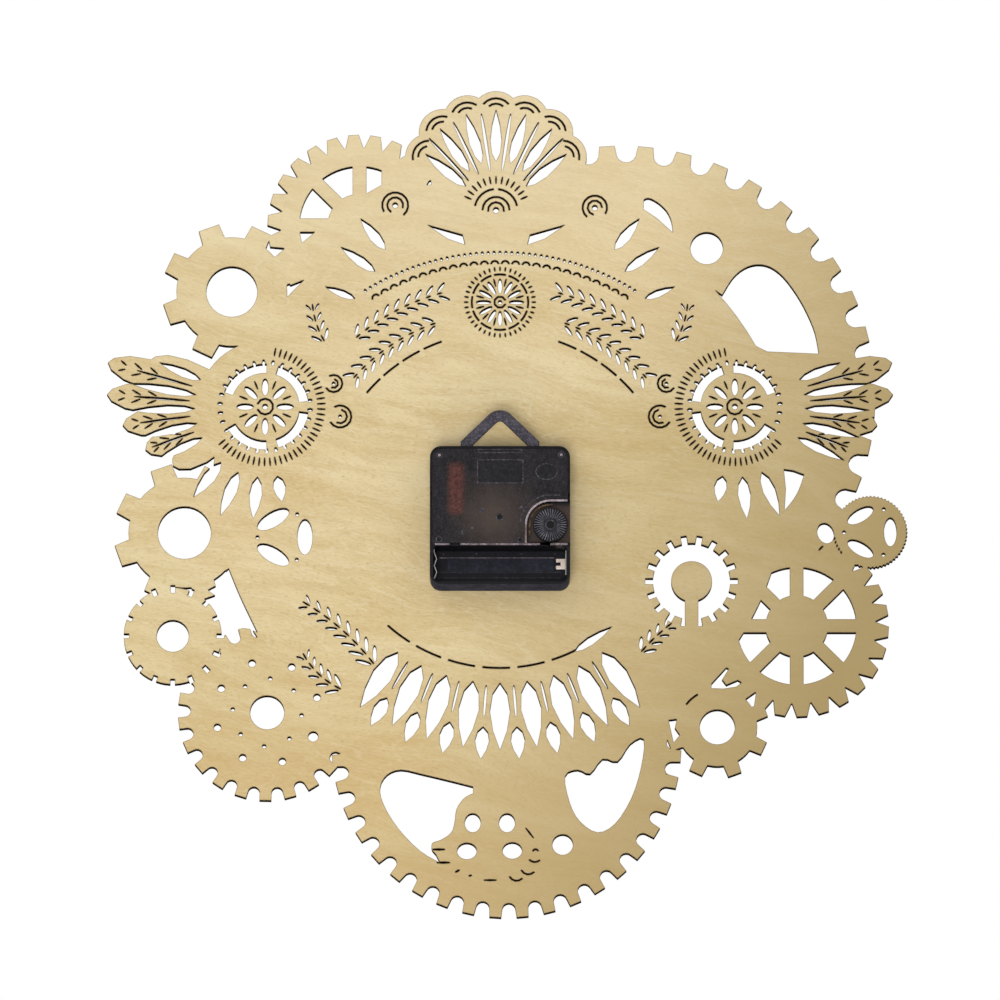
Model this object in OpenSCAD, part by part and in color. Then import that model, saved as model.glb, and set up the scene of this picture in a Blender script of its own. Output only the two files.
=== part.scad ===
// Wooden gear clock.
// A laser-cut plywood panel of joined gear wheels carries a small quartz movement on its back
// and three hands on its front. All sizes are in millimetres.
// Frame: the origin is where the hand arbors meet the wall, Z is up, the dial faces -Y.
// The drawing is made as seen from the back: u to the right, v up, w out towards the wall.

/* [Gear panel] */
// width of the whole plywood panel
panel_w = 320; // [280:1:360]
// thickness of the plywood
panel_t = 4; // [3:0.1:5]
// radius of the plain disc in the middle, which is the dial on the front
dial_r = 64.4; // [62:0.2:66]
// length of the big leaf windows under the disc
leaf_window_l = 27; // [20:0.5:28]
// clearance between the panel hole and the threaded neck
panel_hole_gap = 0.25; // [0.1:0.05:0.6]

/* [Movement case] */
// width and height of the square case
case_size = 56; // [54.5:0.5:60]
// depth from the wall face to the front face
case_depth = 16; // [15.9:0.1:18]
// thickness of the side walls
case_wall = 1.3; // [1:0.1:1.5]
// thickness of the front wall
front_wall = 1.5; // [1.2:0.1:1.5]
// outer corner radius
corner_r = 4.5; // [3.5:0.25:5]
// thickness of the rear cover
cover_t = 1.4; // [1.2:0.1:1.6]
// how far the cover lies below the rim of the case
cover_sink = 0.4; // [0.3:0.1:0.5]
// radius of the threaded neck that goes through the panel
neck_r = 4; // [3.6:0.1:5]
// thickness of the plate between the two gear trains
plate_t = 1; // [0.8:0.1:1.2]
// room in front of that plate for the motion work
motion_depth = 3.9; // [3.9:0.1:4.2]

/* [Battery bay] */
// diameter of the cell the bay takes
cell_d = 14.5; // [14.5:0.1:14.6]
// length of the cell
cell_l = 50.5; // [50:0.1:50.8]
// clearance around the cell
cell_gap = 0.2; // [0.1:0.05:0.3]
// thickness of the sheet metal contacts
contact_t = 0.3; // [0.2:0.05:0.4]

/* [Hanger] */
// height of the outside of the loop above the shaft
hanger_top = 44; // [42:0.5:50]
// width of the hanger's legs
hanger_leg = 4.4; // [3:0.1:4.6]
// radius of the bend at the top of the loop, along the middle of the leg
hanger_bend = 4.2; // [3:0.1:6]
// distance between the middles of the two feet
hanger_span = 26.5; // [24:0.5:32]
// thickness of the hanger
hanger_t = 2; // [1.6:0.1:2.2]

/* [Gears] */
// module of the motion work
motion_module = 0.35; // [0.34:0.005:0.36]
// module of the rotor pinion and the fifth wheel
rotor_module = 0.35; // [0.33:0.005:0.36]
// module of the fifth pinion and the second wheel
second_module = 0.3875; // [0.38:0.0025:0.395]
// module of the second pinion and the third wheel
third_module = 0.27; // [0.265:0.0025:0.275]
// thickness of each wheel
wheel_t = 0.8; // [0.6:0.05:0.9]
// play between meshing teeth, measured round the pitch circle
tooth_play = 0.09; // [0.07:0.01:0.12]
// running clearance of every shaft in its hole
running_gap = 0.05; // [0.03:0.01:0.08]
// radius of the pivots at the ends of the arbors
pivot_r = 0.4; // [0.35:0.05:0.45]

/* [Shafts] */
// outer radius of the hour pipe
hour_pipe_r = 2.5; // [2.3:0.05:2.6]
// outer radius of the minute tube
minute_tube_r = 1.6; // [1.5:0.05:1.65]
// radius of the second arbor
second_arbor_r = 0.55; // [0.5:0.05:0.6]
// radius of the setting knob
knob_r = 6.9; // [6:0.1:7.4]

/* [Hands and fixings] */
// length of the hour hand
hour_hand_l = 38; // [30:1:42]
// length of the minute hand
minute_hand_l = 54; // [46:1:56]
// length of the second hand
second_hand_l = 56; // [48:1:60]
// thickness of the sheet the hands are made of
hand_t = 0.5; // [0.4:0.05:0.6]
// hour that the hands show, in the twelve-hour round
shown_hour = 10; // [0:1:11]
// minute that the hands show
shown_minute = 9; // [0:1:59]
// second that the hands show
shown_second = 36; // [0:1:59]
// thickness of the rubber washer
rubber_t = 1; // [0.8:0.1:1.5]
// thickness of the brass washer
washer_t = 0.5; // [0.4:0.1:0.8]
// thickness of the hexagon nut
nut_t = 2.2; // [2:0.1:2.5]

/* [Hidden] */

// a little more than nothing: lets a cutting tool pass right through a face
cut = 1;
// gap between two pieces that are pushed together by hand
snug = 0.02;
// gap between faces that must not rub
air = 0.15;

// the layout was drawn for a panel 320 wide
layout_w = 320;
panel_s = panel_w / layout_w;
// side of the plywood sheet that it is cut from
sheet_w = 400;

// depth levels, from the wall face at w = 0 towards the dial
cover_out = -cover_sink;
cover_in = cover_out - cover_t;
cover_ledge = 0.5;
cover_fit = 0.05;
case_front = -case_depth;
floor_w = case_front + front_wall;
plate_front = floor_w + motion_depth;
plate_back = plate_front + plate_t;
panel_back = case_front - rubber_t;
panel_front = panel_back - panel_t;
washer_front = panel_front - washer_t;
nut_front = washer_front - nut_t;
neck_end = nut_front - 1;
hand_hub_t = 1.2;
second_tail_l = 14;
hour_hand_w = neck_end - 1.8;
hour_pipe_end = hour_hand_w - 0.2;
minute_hand_w = hour_pipe_end - 1.6;
minute_tube_end = minute_hand_w - 0.2;
second_hand_w = minute_tube_end - 1.4;

// the movement was laid out for a case 56 wide; gears and posts follow the case from there
layout_case = 56;
case_s = case_size / layout_case;

// gear teeth
pressure = 25;
addendum = 0.65;
dedendum = 0.95;
flank_steps = 3;

// tooth counts
rotor_z = 6;
fifth_z = 36;
fifth_pinion_z = 8;
second_z = 40;
second_pinion_z = 8;
third_z = 60;
third_pinion_z = 8;
centre_z = 64;
cannon_z = 12;
minute_z = 36;
minute_pinion_z = 10;
hour_z = 40;
knob_z = 32;

// where the arbors stand, worked out from the meshing wheels
fifth_dir = 157.4;
rotor_dir = 242.7;
third_dir = 24.6;
motion_dir = -7.9;
motion_m = motion_module * case_s;
rotor_m = rotor_module * case_s;
second_m = second_module * case_s;
third_m = third_module * case_s;
fifth_at = polar(second_m * (fifth_pinion_z + second_z) / 2, fifth_dir);
rotor_at = fifth_at + polar(rotor_m * (rotor_z + fifth_z) / 2, rotor_dir);
third_d = third_m * (second_pinion_z + third_z) / 2;
third_at = polar(third_d, third_dir);
centre_m = 2 * third_d / (third_pinion_z + centre_z);
motion_d = motion_m * (cannon_z + minute_z) / 2;
minute_at = polar(motion_d, motion_dir);
hour_m = 2 * motion_d / (minute_pinion_z + hour_z);
knob_at = minute_at + polar(motion_m * (minute_z + knob_z) / 2, motion_dir);

// case outline: the bay lies just under the knob, and the case reaches up from there
divider_t = 1.2;
bay_rim = 1.1;
knob_air = 0.3;
divider_top = knob_at[1] - knob_r - knob_air;
bay_high = divider_top - divider_t;
bay_low = bay_high - cell_d - cell_gap;
bay_half = cell_l / 2 + 1.45;
bay_corner_r = 2;
bay_floor = -(cell_d + cell_gap);
case_low = bay_low - bay_rim;
case_top = case_low + case_size;
case_in = case_size / 2 - case_wall;
room_top = case_top - case_wall;
room_corner_r = corner_r - case_wall;

// wheel levels: front face of each wheel in the running train, counted from the middle plate
centre_w = plate_back + 0.4;
third_w = plate_back + 2;
second_w = plate_back + 3.7;
fifth_w = plate_back + 5.3;
magnet_w = plate_back + 1.6;
magnet_t = 2.6;
magnet_r = 2.6;
stator_w = plate_back + 2.4;
stator_t = 1;
boss_end = cover_in - 1.3;
// and in the motion work, counted from the front wall
hour_w = floor_w + air;
hour_wheel_t = 1.1;
minute_w = floor_w + 2.1;
cannon_w = hour_w + hour_wheel_t + air;

// setting knob and its well in the cover
well_r = knob_r + 2.5;
well_depth = 3.4;
well_floor_t = 1;
stem_r = 1.5;

// coil, its core and the stator round the magnet
coil_u = -18.4 * case_s;
coil_r = 2.9;
coil_tube_r = 1.6;
coil_low = 2.5;
coil_high = room_top - 5;
core_half = 1.1;
core_t = 1.2;
core_w = stator_w + stator_t;
coil_w = core_w + core_t / 2;
flange_t = 0.8;
flange_half = 3.3;
stator_low = -2.4;
stator_high = room_top - 1;
stator_arm_w = 3.2;
stator_ring_r = magnet_r + 2.6;
magnet_air = 0.5;

// posts, bearings and arbors
post_u = 22.5 * case_s;
posts = [[-post_u, room_top - 4.5], [post_u, room_top - 4.5], [-post_u, divider_top + 3.7],
  [14.5 * case_s, divider_top + 1.8]];
post_r = 1.4;
stud_r = 0.8;
boss_r = 1.3;
arbor_r = 0.6;
knob_pivot_r = 0.75;
knob_bearing_r = 2;
magnet_core_r = 1;
minute_tube_back = centre_w + wheel_t + 0.3;

// hanger
hanger_foot = 5;
hanger_rise = 1.6;
hanger_steps = 12;
hanger_w = cover_in - hanger_t - 0.4;
hanger_centre = [0, hanger_top - hanger_leg / 2 - hanger_bend];

// shallow notches in the side walls, where the cover's latches are reached
latch_depth = 0.8;
latch_left = [4.5, 11];
latch_right = [6.8, 10];
latch_w = -7;

// contacts of the battery bay and the tails that lead up to the circuit board
contact_at = min(bay_half, case_in) - 0.25;
tail_w = plate_back + 0.2;
tail_h = 2;
tail_top = room_top - room_corner_r - 0.2;
slot_half = contact_t / 2 + 0.5;
spring_h = 1;

// circuit board
board_t = 1;
board_left = -10 * case_s;
board_right = 24 * case_s;
board_high = room_top - 1;
board_low = board_high - 13;
chip_at = [2 * case_s, board_low + 6];
crystal_at = [10 * case_s, board_low + 8];
crystal_l = 6;
crystal_r = 1;

// polar to plain coordinates
function polar(r, a) = [r * cos(a), r * sin(a)];
// involute angle in degrees
function inv(a) = tan(a) * 180 / PI - a;
function roll(r, rb) = r <= rb ? 0 : inv(acos(rb / r));

// one flank of a tooth, root to tip, as pairs of radius and half angle
function flank(z, m) =
  let(rp = z * m / 2, rb = rp * cos(pressure), rr = rp - dedendum * m, ra = rp + addendum * m,
    half = 90 / z - tooth_play / 4 / rp * 180 / PI + inv(pressure), start = max(rr, rb))
  concat(rb > rr ? [[rr, half]] : [],
    [for (k = [0:flank_steps])
      let(r = start + (ra - start) * k / flank_steps) [r, half - roll(r, rb)]]);

// outline of a whole involute gear with its first tooth at the angle phase
function gear_points(z, m, phase) =
  let(up = flank(z, m), n = len(up))
  [for (t = [0:z - 1]) for (k = [0:2 * n - 1])
    let(p = k < n ? [up[k][0], -up[k][1]] : up[2 * n - 1 - k]) polar(p[0], phase + 360 * t / z + p[1])];

// angle of the first tooth of wheel b, so that it meshes with wheel a standing in direction dir from it
function mesh_phase(za, phase_a, zb, dir) =
  dir + 180 - 360 / zb * (0.5 - (dir - phase_a) * za / 360);

// a smooth closed line through the given points
function curve_at(a, b, c, d, t) =
  0.5 * (2 * b + (c - a) * t + (2 * a - 5 * b + 4 * c - d) * t * t + (3 * b - a - 3 * c + d) * t * t * t);
function smooth(p, steps = 3) =
  let(n = len(p))
  [for (i = [0:n - 1]) for (k = [0:steps - 1])
    curve_at(p[(i + n - 1) % n], p[i], p[(i + 1) % n], p[(i + 2) % n], k / steps)];

// a smooth open line through the given points
function bow(p, steps = 3) =
  let(n = len(p))
  concat([for (i = [0:n - 2]) for (k = [0:steps - 1])
    curve_at(p[max(i - 1, 0)], p[i], p[i + 1], p[min(i + 2, n - 1)], k / steps)], [p[n - 1]]);

// first tooth of every wheel, so that all of them are in mesh at rest
second_phase = 0;
fifth_pinion_phase = mesh_phase(second_z, second_phase, fifth_pinion_z, fifth_dir);
fifth_phase = 0;
rotor_phase = mesh_phase(fifth_z, fifth_phase, rotor_z, rotor_dir);
second_pinion_phase = 0;
third_phase = mesh_phase(second_pinion_z, second_pinion_phase, third_z, third_dir);
centre_phase = 0;
third_pinion_phase = mesh_phase(centre_z, centre_phase, third_pinion_z, third_dir);
cannon_phase = 0;
minute_phase = mesh_phase(cannon_z, cannon_phase, minute_z, motion_dir);
hour_phase = 0;
minute_pinion_phase = mesh_phase(hour_z, hour_phase, minute_pinion_z, motion_dir);
knob_phase = mesh_phase(minute_z, minute_phase, knob_z, motion_dir);

// hand angles, clockwise from twelve as the dial shows them
minute_angle = 6 * shown_minute + 0.1 * shown_second;
hour_angle = 30 * shown_hour + minute_angle / 12;
second_angle = 6 * shown_second;

// centres of the gears in the panel's layout
top_left = [-56.3, 121.9];
left_upper = [-107.4, 94.8];
left_middle = [-126.2, -3.2];
left_small = [-130.8, -45.1];
left_lower = [-93, -76.1];
bottom_big = [2.6, -89.3];
right_low = [86.8, -82];
right_spoked = [118.6, -41];
knurled = [148.2, -2.9];
top_right = [48.7, 52.7];
inner_gear = [76.6, -22.9];
medallion = [-86.4, -4.9];
dial_at = [0, 8.9];

// round back that all the gears join
back_at = [-0.4, 15.8];
back_r = 114.5;

// the fan at the top: direction of each lobe and how far out its middle is
crest_at = [-1.6, 128];
crest_lobe_r = 9.6;
crest_lobes = [[39, 34.5], [56, 38.2], [73, 39], [90, 39], [107, 39], [124, 38.2], [141, 34.5]];

// the two fronds: heading and length of each leaf, and headings of the windows between them
frond_at = [94, 48];
frond_leaf_w = 12.4;
frond_leaves = [[22, 50], [16, 65.5], [4.5, 63.5], [-7.5, 57.5], [-20, 51], [-33, 44]];
frond_gaps = [[23, 18], [10, 27], [-1.5, 26], [-14, 23.5], [-26.5, 21]];
frond_drop_leaves = [[-52, 18], [-68, 19], [-84, 17], [-100, 10.5]];
frond_ring_r = 15.6;
frond_ring_w = 3.6;

// turns the drawing seen from the back into the clock's frame
module back_view() {
  rotate([90, 0, 180]) children();
}

// a flat shape between two depths
module slab(w0, w1) {
  translate([0, 0, min(w0, w1)]) linear_extrude(abs(w1 - w0)) children();
}

// a round bar along the depth
module rod(p, w0, w1, r) {
  translate([p[0], p[1], min(w0, w1)]) cylinder(h = abs(w1 - w0), r = r, $fn = 64);
}

module block(u0, u1, v0, v1, w0, w1) {
  translate([u0, v0, w0]) cube([u1 - u0, v1 - v0, w1 - w0]);
}

module gear_slab(z, m, phase, p, w0, w1) {
  translate([p[0], p[1], w0]) linear_extrude(w1 - w0) polygon(gear_points(z, m, phase));
}

// rectangle with four round corners, made of boxes and circles so that the arcs stay true
module round_rect(u0, u1, v0, v1, r) {
  translate([u0 + r, v0]) square([u1 - u0 - 2 * r, v1 - v0]);
  translate([u0, v0 + r]) square([u1 - u0, v1 - v0 - 2 * r]);
  for (u = [u0 + r, u1 - r]) {
    for (v = [v0 + r, v1 - r]) {
      translate([u, v]) circle(r, $fn = 64);
    }
  }
}
// puts a flat shape at a point and turns it
module at(p, a = 0) {
  translate(p) rotate(a) children();
}

// the same shape on the right and on the left
module both_sides() {
  children();
  mirror([1, 0]) children();
}

// pointed leaf from the origin along +u
module leaf(l, w) {
  polygon([[0, 0], [0.16 * l, 0.36 * w], [0.42 * l, 0.5 * w], [0.72 * l, 0.34 * w], [l, 0],
    [0.72 * l, -0.34 * w], [0.42 * l, -0.5 * w], [0.16 * l, -0.36 * w]]);
}

// leaf that stays broad almost to its tip
module long_leaf(l, w) {
  polygon([[0, 0], [0.3 * l, 0.42 * w], [0.72 * l, 0.5 * w], [0.88 * l, 0.4 * w], [0.97 * l, 0.2 * w],
    [l, 0], [0.97 * l, -0.2 * w], [0.88 * l, -0.4 * w], [0.72 * l, -0.5 * w], [0.3 * l, -0.42 * w]]);
}

module oval(a, b) {
  polygon([for (t = [0:18:342]) [a * cos(t), b * sin(t)]]);
}

// band along an arc
module arc_band(r, w, a0, a1) {
  n = max(3, ceil((a1 - a0) / 9));
  polygon(concat([for (k = [0:n]) polar(r + w / 2, a0 + (a1 - a0) * k / n)],
    [for (k = [n:-1:0]) polar(r - w / 2, a0 + (a1 - a0) * k / n)]));
}

// gear with teeth like trapezoids and narrow bottoms between them
module wedge_gear(z, tip_r, root_r, tip_w, phase) {
  polygon([for (t = [0:z - 1]) for (q = [[root_r, -174 / z], [tip_r, -1], [tip_r, 1], [root_r, 174 / z]])
    let(a = abs(q[1]) == 1 ? q[1] * asin(tip_w / 2 / tip_r) : q[1]) polar(q[0], phase + 360 * t / z + a)]);
}

// gear with round bites between flat tips
module bite_gear(z, tip_r, root_r, mouth, phase) {
  bite = mouth * 0.43;
  middle = root_r + bite;
  polygon([for (t = [0:z - 1]) for (q = concat([[tip_r, -mouth / 2]],
    [for (a = [270:-22.5:90]) [middle + bite * cos(a), bite * sin(a)]], [[tip_r, mouth / 2]]))
    let(turn = phase + 360 * (t + 0.5) / z)
      [q[0] * cos(turn) - q[1] * sin(turn), q[0] * sin(turn) + q[1] * cos(turn)]]);
}

// gear with a few square teeth on a round body
module square_gear(z, tip_r, root_r, tooth_w, phase) {
  circle(root_r, $fn = 96);
  for (t = [0:z - 1]) {
    rotate(phase + 360 * t / z)
      polygon([[root_r - 2, -tooth_w * 0.56], [tip_r, -tooth_w / 2],
        [tip_r, tooth_w / 2], [root_r - 2, tooth_w * 0.56]]);
  }
}

// windows between the spokes of a wheel
module spoke_windows(n, outer_r, hub_r, spoke_w) {
  step = 360 / n;
  inner_edge = asin(spoke_w / 2 / hub_r);
  outer_edge = asin(spoke_w / 2 / outer_r);
  for (t = [0:n - 1]) {
    rotate(t * step)
      polygon(concat([for (k = [0:6]) polar(outer_r, outer_edge + (step - 2 * outer_edge) * k / 6)],
        [for (k = [4:-1:0]) polar(hub_r, inner_edge + (step - 2 * inner_edge) * k / 4)]));
  }
}

// the fan of lobes at the top
module crest_outline() {
  for (c = crest_lobes) {
    at(crest_at + polar(c[1], c[0])) circle(crest_lobe_r, $fn = 64);
  }
  translate(crest_at) polygon(concat([for (c = crest_lobes) polar(c[1], c[0])], [[-24, -16], [24, -16]]));
}

// round ends beside the fan
module scroll_horns() {
  at([-42, 130]) circle(8.5, $fn = 64);
  at([38, 129]) circle(8, $fn = 64);
  polygon([[-50, 128], [-40, 104], [36, 104], [46, 127], [34, 122], [20, 118], [-22, 118], [-38, 122]]);
}

// long leaves that reach out past the gears
module frond_outline() {
  for (f = frond_leaves) {
    at(frond_at, f[0]) long_leaf(f[1], frond_leaf_w);
  }
  at(frond_at) circle(27, $fn = 96);
}

// what the laser leaves outside the clock: the sheet less every outline that belongs to it
module waste() {
  difference() {
    square(2 * sheet_w, center = true);
    at(back_at) circle(back_r, $fn = 256);
    at(top_left) wedge_gear(26, 36.9, 31.6, 4.2, 93.7);
    at(left_upper) square_gear(8, 27.6, 22.2, 8.6, 19.5);
    at(left_middle) square_gear(8, 28, 22.4, 8.8, 19.5);
    at(left_small) circle(19.6, $fn = 96);
    at(left_lower) bite_gear(22, 35.6, 30.6, 5.4, 170.7);
    at(bottom_big) bite_gear(40, 69.8, 64, 6.2, 221.3);
    at(right_low) square_gear(8, 20.5, 16, 5.6, 20);
    at(right_spoked) wedge_gear(26, 36.9, 31.6, 4.2, -3.7);
    at(knurled) polygon([for (k = [0:119]) polar(k % 2 == 0 ? 14.8 : 14.2, k * 3)]);
    at(top_right) bite_gear(41, 101.5, 94.8, 9.4, 84.5);
    polygon([[60, -60], [95, -52], [98, -66], [86, -68], [72, -84], [58, -92]]);
    polygon([[112, 0], [134, 2], [140, -10], [132, -24], [112, -20]]);
    crest_outline();
    scroll_horns();
    frond_outline();
    mirror([1, 0]) frond_outline();
  }
}

// plain holes and windows of the gears
module gear_windows() {
  at(left_upper) circle(10.2, $fn = 96);
  at(left_middle) circle(10.6, $fn = 96);
  at(left_small) circle(6.4, $fn = 96);
  at(left_lower) circle(6.8, $fn = 96);
  at(right_low) circle(7, $fn = 96);
  at([82.8, 112.5]) circle(6.5, $fn = 96);
  at([25, -129.6]) circle(4.1, $fn = 64);
}

// slots near the rim of the smallest gear
module small_gear_slots() {
  for (k = [0:15]) {
    at(left_small, 22.5 * k) translate([17.5, -0.9]) square([3, 1.8]);
  }
}

// round holes of the gear at the lower left
module wheel_dots() {
  for (k = [0:7]) {
    at(left_lower, 107 + 45 * k) translate([20.8, 0]) circle(k == 5 ? 2 : 1.45, $fn = 32);
    at(left_lower, 85 + 45 * k) translate([13.8, 0]) circle(0.8, $fn = 24);
  }
}

// three ovals round a middle, with a dot between each two
module medallion_windows(r, half_w, half_l) {
  for (a = [0, 121, 239]) {
    rotate(a) translate([r, 0]) oval(half_w, half_l);
    rotate(a + 60) translate([10.6, 0]) circle(0.7, $fn = 24);
  }
}

// toothed opening round a small hub that hangs from one spoke
module inner_gear_window() {
  difference() {
    union() {
      circle(15.4, $fn = 96);
      for (k = [0:17]) {
        rotate(20 * k) translate([14, -1.15]) square([4.5, 2.3]);
      }
    }
    circle(8.2, $fn = 64);
    translate([-2.7, -20]) square([5.4, 16]);
  }
}

// windows of the big gear at the bottom
module bottom_windows() {
  // left one, with the edge of a small toothed wheel at its right
  polygon(concat(bow([[-24, -136.8], [-32, -132], [-40.6, -123], [-46.4, -113.4], [-47.8, -106.4], [-45, -101.4],
    [-39.5, -99.4], [-31, -101.2], [-21.8, -103.4], [-10.8, -106.2]]),
    bow([[-10.8, -108.8], [-14.4, -110.8], [-17.4, -115.2], [-18.2, -120.6], [-19.6, -124.8], [-23.6, -127.6],
      [-27, -128.9], [-27.2, -131.6], [-25.6, -133.6]])));
  polygon(smooth([[26, -102], [28, -112.9], [32, -120.2], [39, -124.6], [46, -121], [52.4, -110.8],
    [56.2, -98.7], [57.4, -87], [52, -89], [47, -96], [41, -95], [36, -101], [31, -99.4]]));
  at([-10.9, -120.8]) oval(3.2, 3.8);
  at([2.8, -120.8]) oval(3.2, 3.8);
  at([-13.2, -132.2]) oval(3.9, 3.3);
  at([4.9, -132]) oval(3.9, 3.3);
}

// windows where gears and the round back leave a gap
module edge_windows() {
  // between the left gears and the round back
  polygon(concat(bow([[-108.5, -17.7], [-105.2, -26], [-101.8, -33.6], [-97, -43.6]]),
    bow([[-100, -42.2], [-104.5, -41.9], [-110, -43]]), [[-110.6, -35], [-112.8, -29.4], [-116.8, -26.4],
      [-113.4, -24.6], [-113.8, -22.2]]));
  // big window of the large gear at the top right, cut off by the round back
  polygon(concat([for (a = [42.6:-3.4:29]) back_at + polar(back_r + 3.1, a)],
    [[107, 70.5]], bow([[127.6, 69.6], [126, 78.2], [122.7, 86.4], [118.6, 93.8], [113.4, 100.8], [108.2, 104.8],
      [102.9, 105.8], [97.8, 104.2], [93.2, 100.2], [89, 93.4]])));
  // crescent above it
  polygon(concat(bow([[57.6, 132.2], [59.5, 132.9], [63, 131.2], [66.6, 127.8], [68.6, 123.6], [69.2, 119]]),
    [[62.9, 124.8], [57.6, 128.4]]));
  // slender window where the right frond meets the gear rim
  polygon(concat(bow([[121.6, 20.4], [119.6, 14.6], [117.2, 10.2], [113.9, 6]]), [[114.4, 14.6], [113.6, 22.6],
    [117.4, 22]]));
  at([130.2, -3.4], 20) oval(3.2, 4.2);
  polygon([[84.4, -66.2], [84.6, -64.4], [90.4, -58], [91.4, -58.4], [88.7, -62.8], [90.4, -65], [95, -63],
    [96.5, -64], [94.4, -65.6], [89.4, -66.4]]);
  polygon([[67.4, -79.2], [70.6, -78.8], [69.8, -82.4], [71.8, -85.2], [69.4, -88.2], [68.6, -84.6]]);
}

// leaf windows in the fan, and the two openings under it
module crest_windows() {
  for (c = crest_lobes) {
    at(crest_at, c[0]) translate([c[1] - 19, 0]) leaf(21, 4.4);
  }
  polygon([[-29, 122], [-21, 116.5], [-14, 114], [-15, 118], [-22, 120]]);
  polygon([[26, 122], [18, 116.5], [11, 114], [12, 118], [19, 120]]);
}

// three slender leaves on each side under the fan
module brow_windows() {
  both_sides() {
    at([46, 112], 52) leaf(16, 4.4);
    at([50, 103], 36) leaf(17, 4);
    at([58, 92], 22) leaf(13, 3);
  }
}

// openings of the ring from which the fronds spring
module frond_ring_windows() {
  for (a = [[20, 92], [108, 172], [188, 252], [268, 330]]) {
    at(frond_at) arc_band(frond_ring_r, frond_ring_w, a[0], a[1]);
  }
}

// slender windows between the leaves of a frond
module frond_windows() {
  for (f = frond_gaps) {
    at(frond_at, f[0]) translate([28, 0]) leaf(f[1], 3.6);
  }
}

// leaf windows that hang below the ring of a frond
module frond_drops(first) {
  for (k = [first:len(frond_drop_leaves) - 1]) {
    at(frond_at, frond_drop_leaves[k][0]) translate([28.6, 0]) leaf(frond_drop_leaves[k][1], 5);
  }
}

// leaves and drops hanging below the dial
module hanging_leaves() {
  for (k = [0:8]) {
    at(dial_at, 236 + 8.5 * k) translate([73, 0]) leaf(leaf_window_l, 8);
  }
  for (k = [0:7]) {
    at(dial_at, 240.25 + 8.5 * k) translate([91, 0]) leaf(13, 5.6);
  }
  at(dial_at, 304) translate([dial_r + 2.2, 0]) rotate(90) translate([-9, 0]) leaf(18, 3.4);
}

// the whole panel, flat
module panel_flat() {
  scale_to_panel() difference() {
    square(sheet_w, center = true);
    waste();
    gear_windows();
    small_gear_slots();
    wheel_dots();
    // the round back covers a part of both spoked wheels
    at(top_left) intersection() {
      spoke_windows(8, 24, 12.8, 5.6);
      polygon([[-30, -8], [-30, 30], [8.8, 30], [8.8, 16.4], [2.7, 12.9], [-18, -2.9], [-24, -8]]);
    }
    difference() {
      at(right_spoked) spoke_windows(8, 23.8, 12.5, 5.5);
      at(back_at) circle(back_r, $fn = 256);
    }
    at(medallion) medallion_windows(8.4, 3, 7.2);
    at(knurled) medallion_windows(7.9, 2.5, 5.8);
    at(inner_gear) inner_gear_window();
    bottom_windows();
    edge_windows();
    crest_windows();
    brow_windows();
    frond_ring_windows();
    mirror([1, 0]) frond_ring_windows();
    frond_windows();
    mirror([1, 0]) frond_windows();
    frond_drops(1);
    mirror([1, 0]) frond_drops(0);
    hanging_leaves();
  }
}

module scale_to_panel() {
  multmatrix([[panel_s, 0, 0, 0], [0, panel_s, 0, 0], [0, 0, panel_s, 0], [0, 0, 0, 1]]) children();
}

module gear_panel() {
  color("burlywood") back_view() difference() {
    slab(panel_front, panel_back) panel_flat();
    rod([0, 0], panel_front - cut, panel_back + cut, neck_r + panel_hole_gap);
  }
}

// outline of the movement case
module case_outline() {
  round_rect(-case_size / 2, case_size / 2, case_low, case_top, corner_r);
}

// outline of the rear cover, which lies on a ledge of the case; gap is the play round it
module cover_flat(gap) {
  reach = case_in + cover_ledge - gap;
  intersection() {
    round_rect(-reach, reach, bay_low, room_top + cover_ledge - gap, room_corner_r + cover_ledge);
    translate([-case_size, bay_high + gap]) square([2 * case_size, case_size]);
  }
}

// the well of the knob, as a flat shape grown by the wall thickness t
module well_flat(t) {
  r = well_r + t;
  translate(knob_at) circle(r, $fn = 96);
  translate([knob_at[0], knob_at[1] - r]) square([case_size, 2 * r]);
  translate([knob_at[0] - r, divider_top - 4]) square([case_size, knob_at[1] - divider_top + 4]);
}

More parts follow.
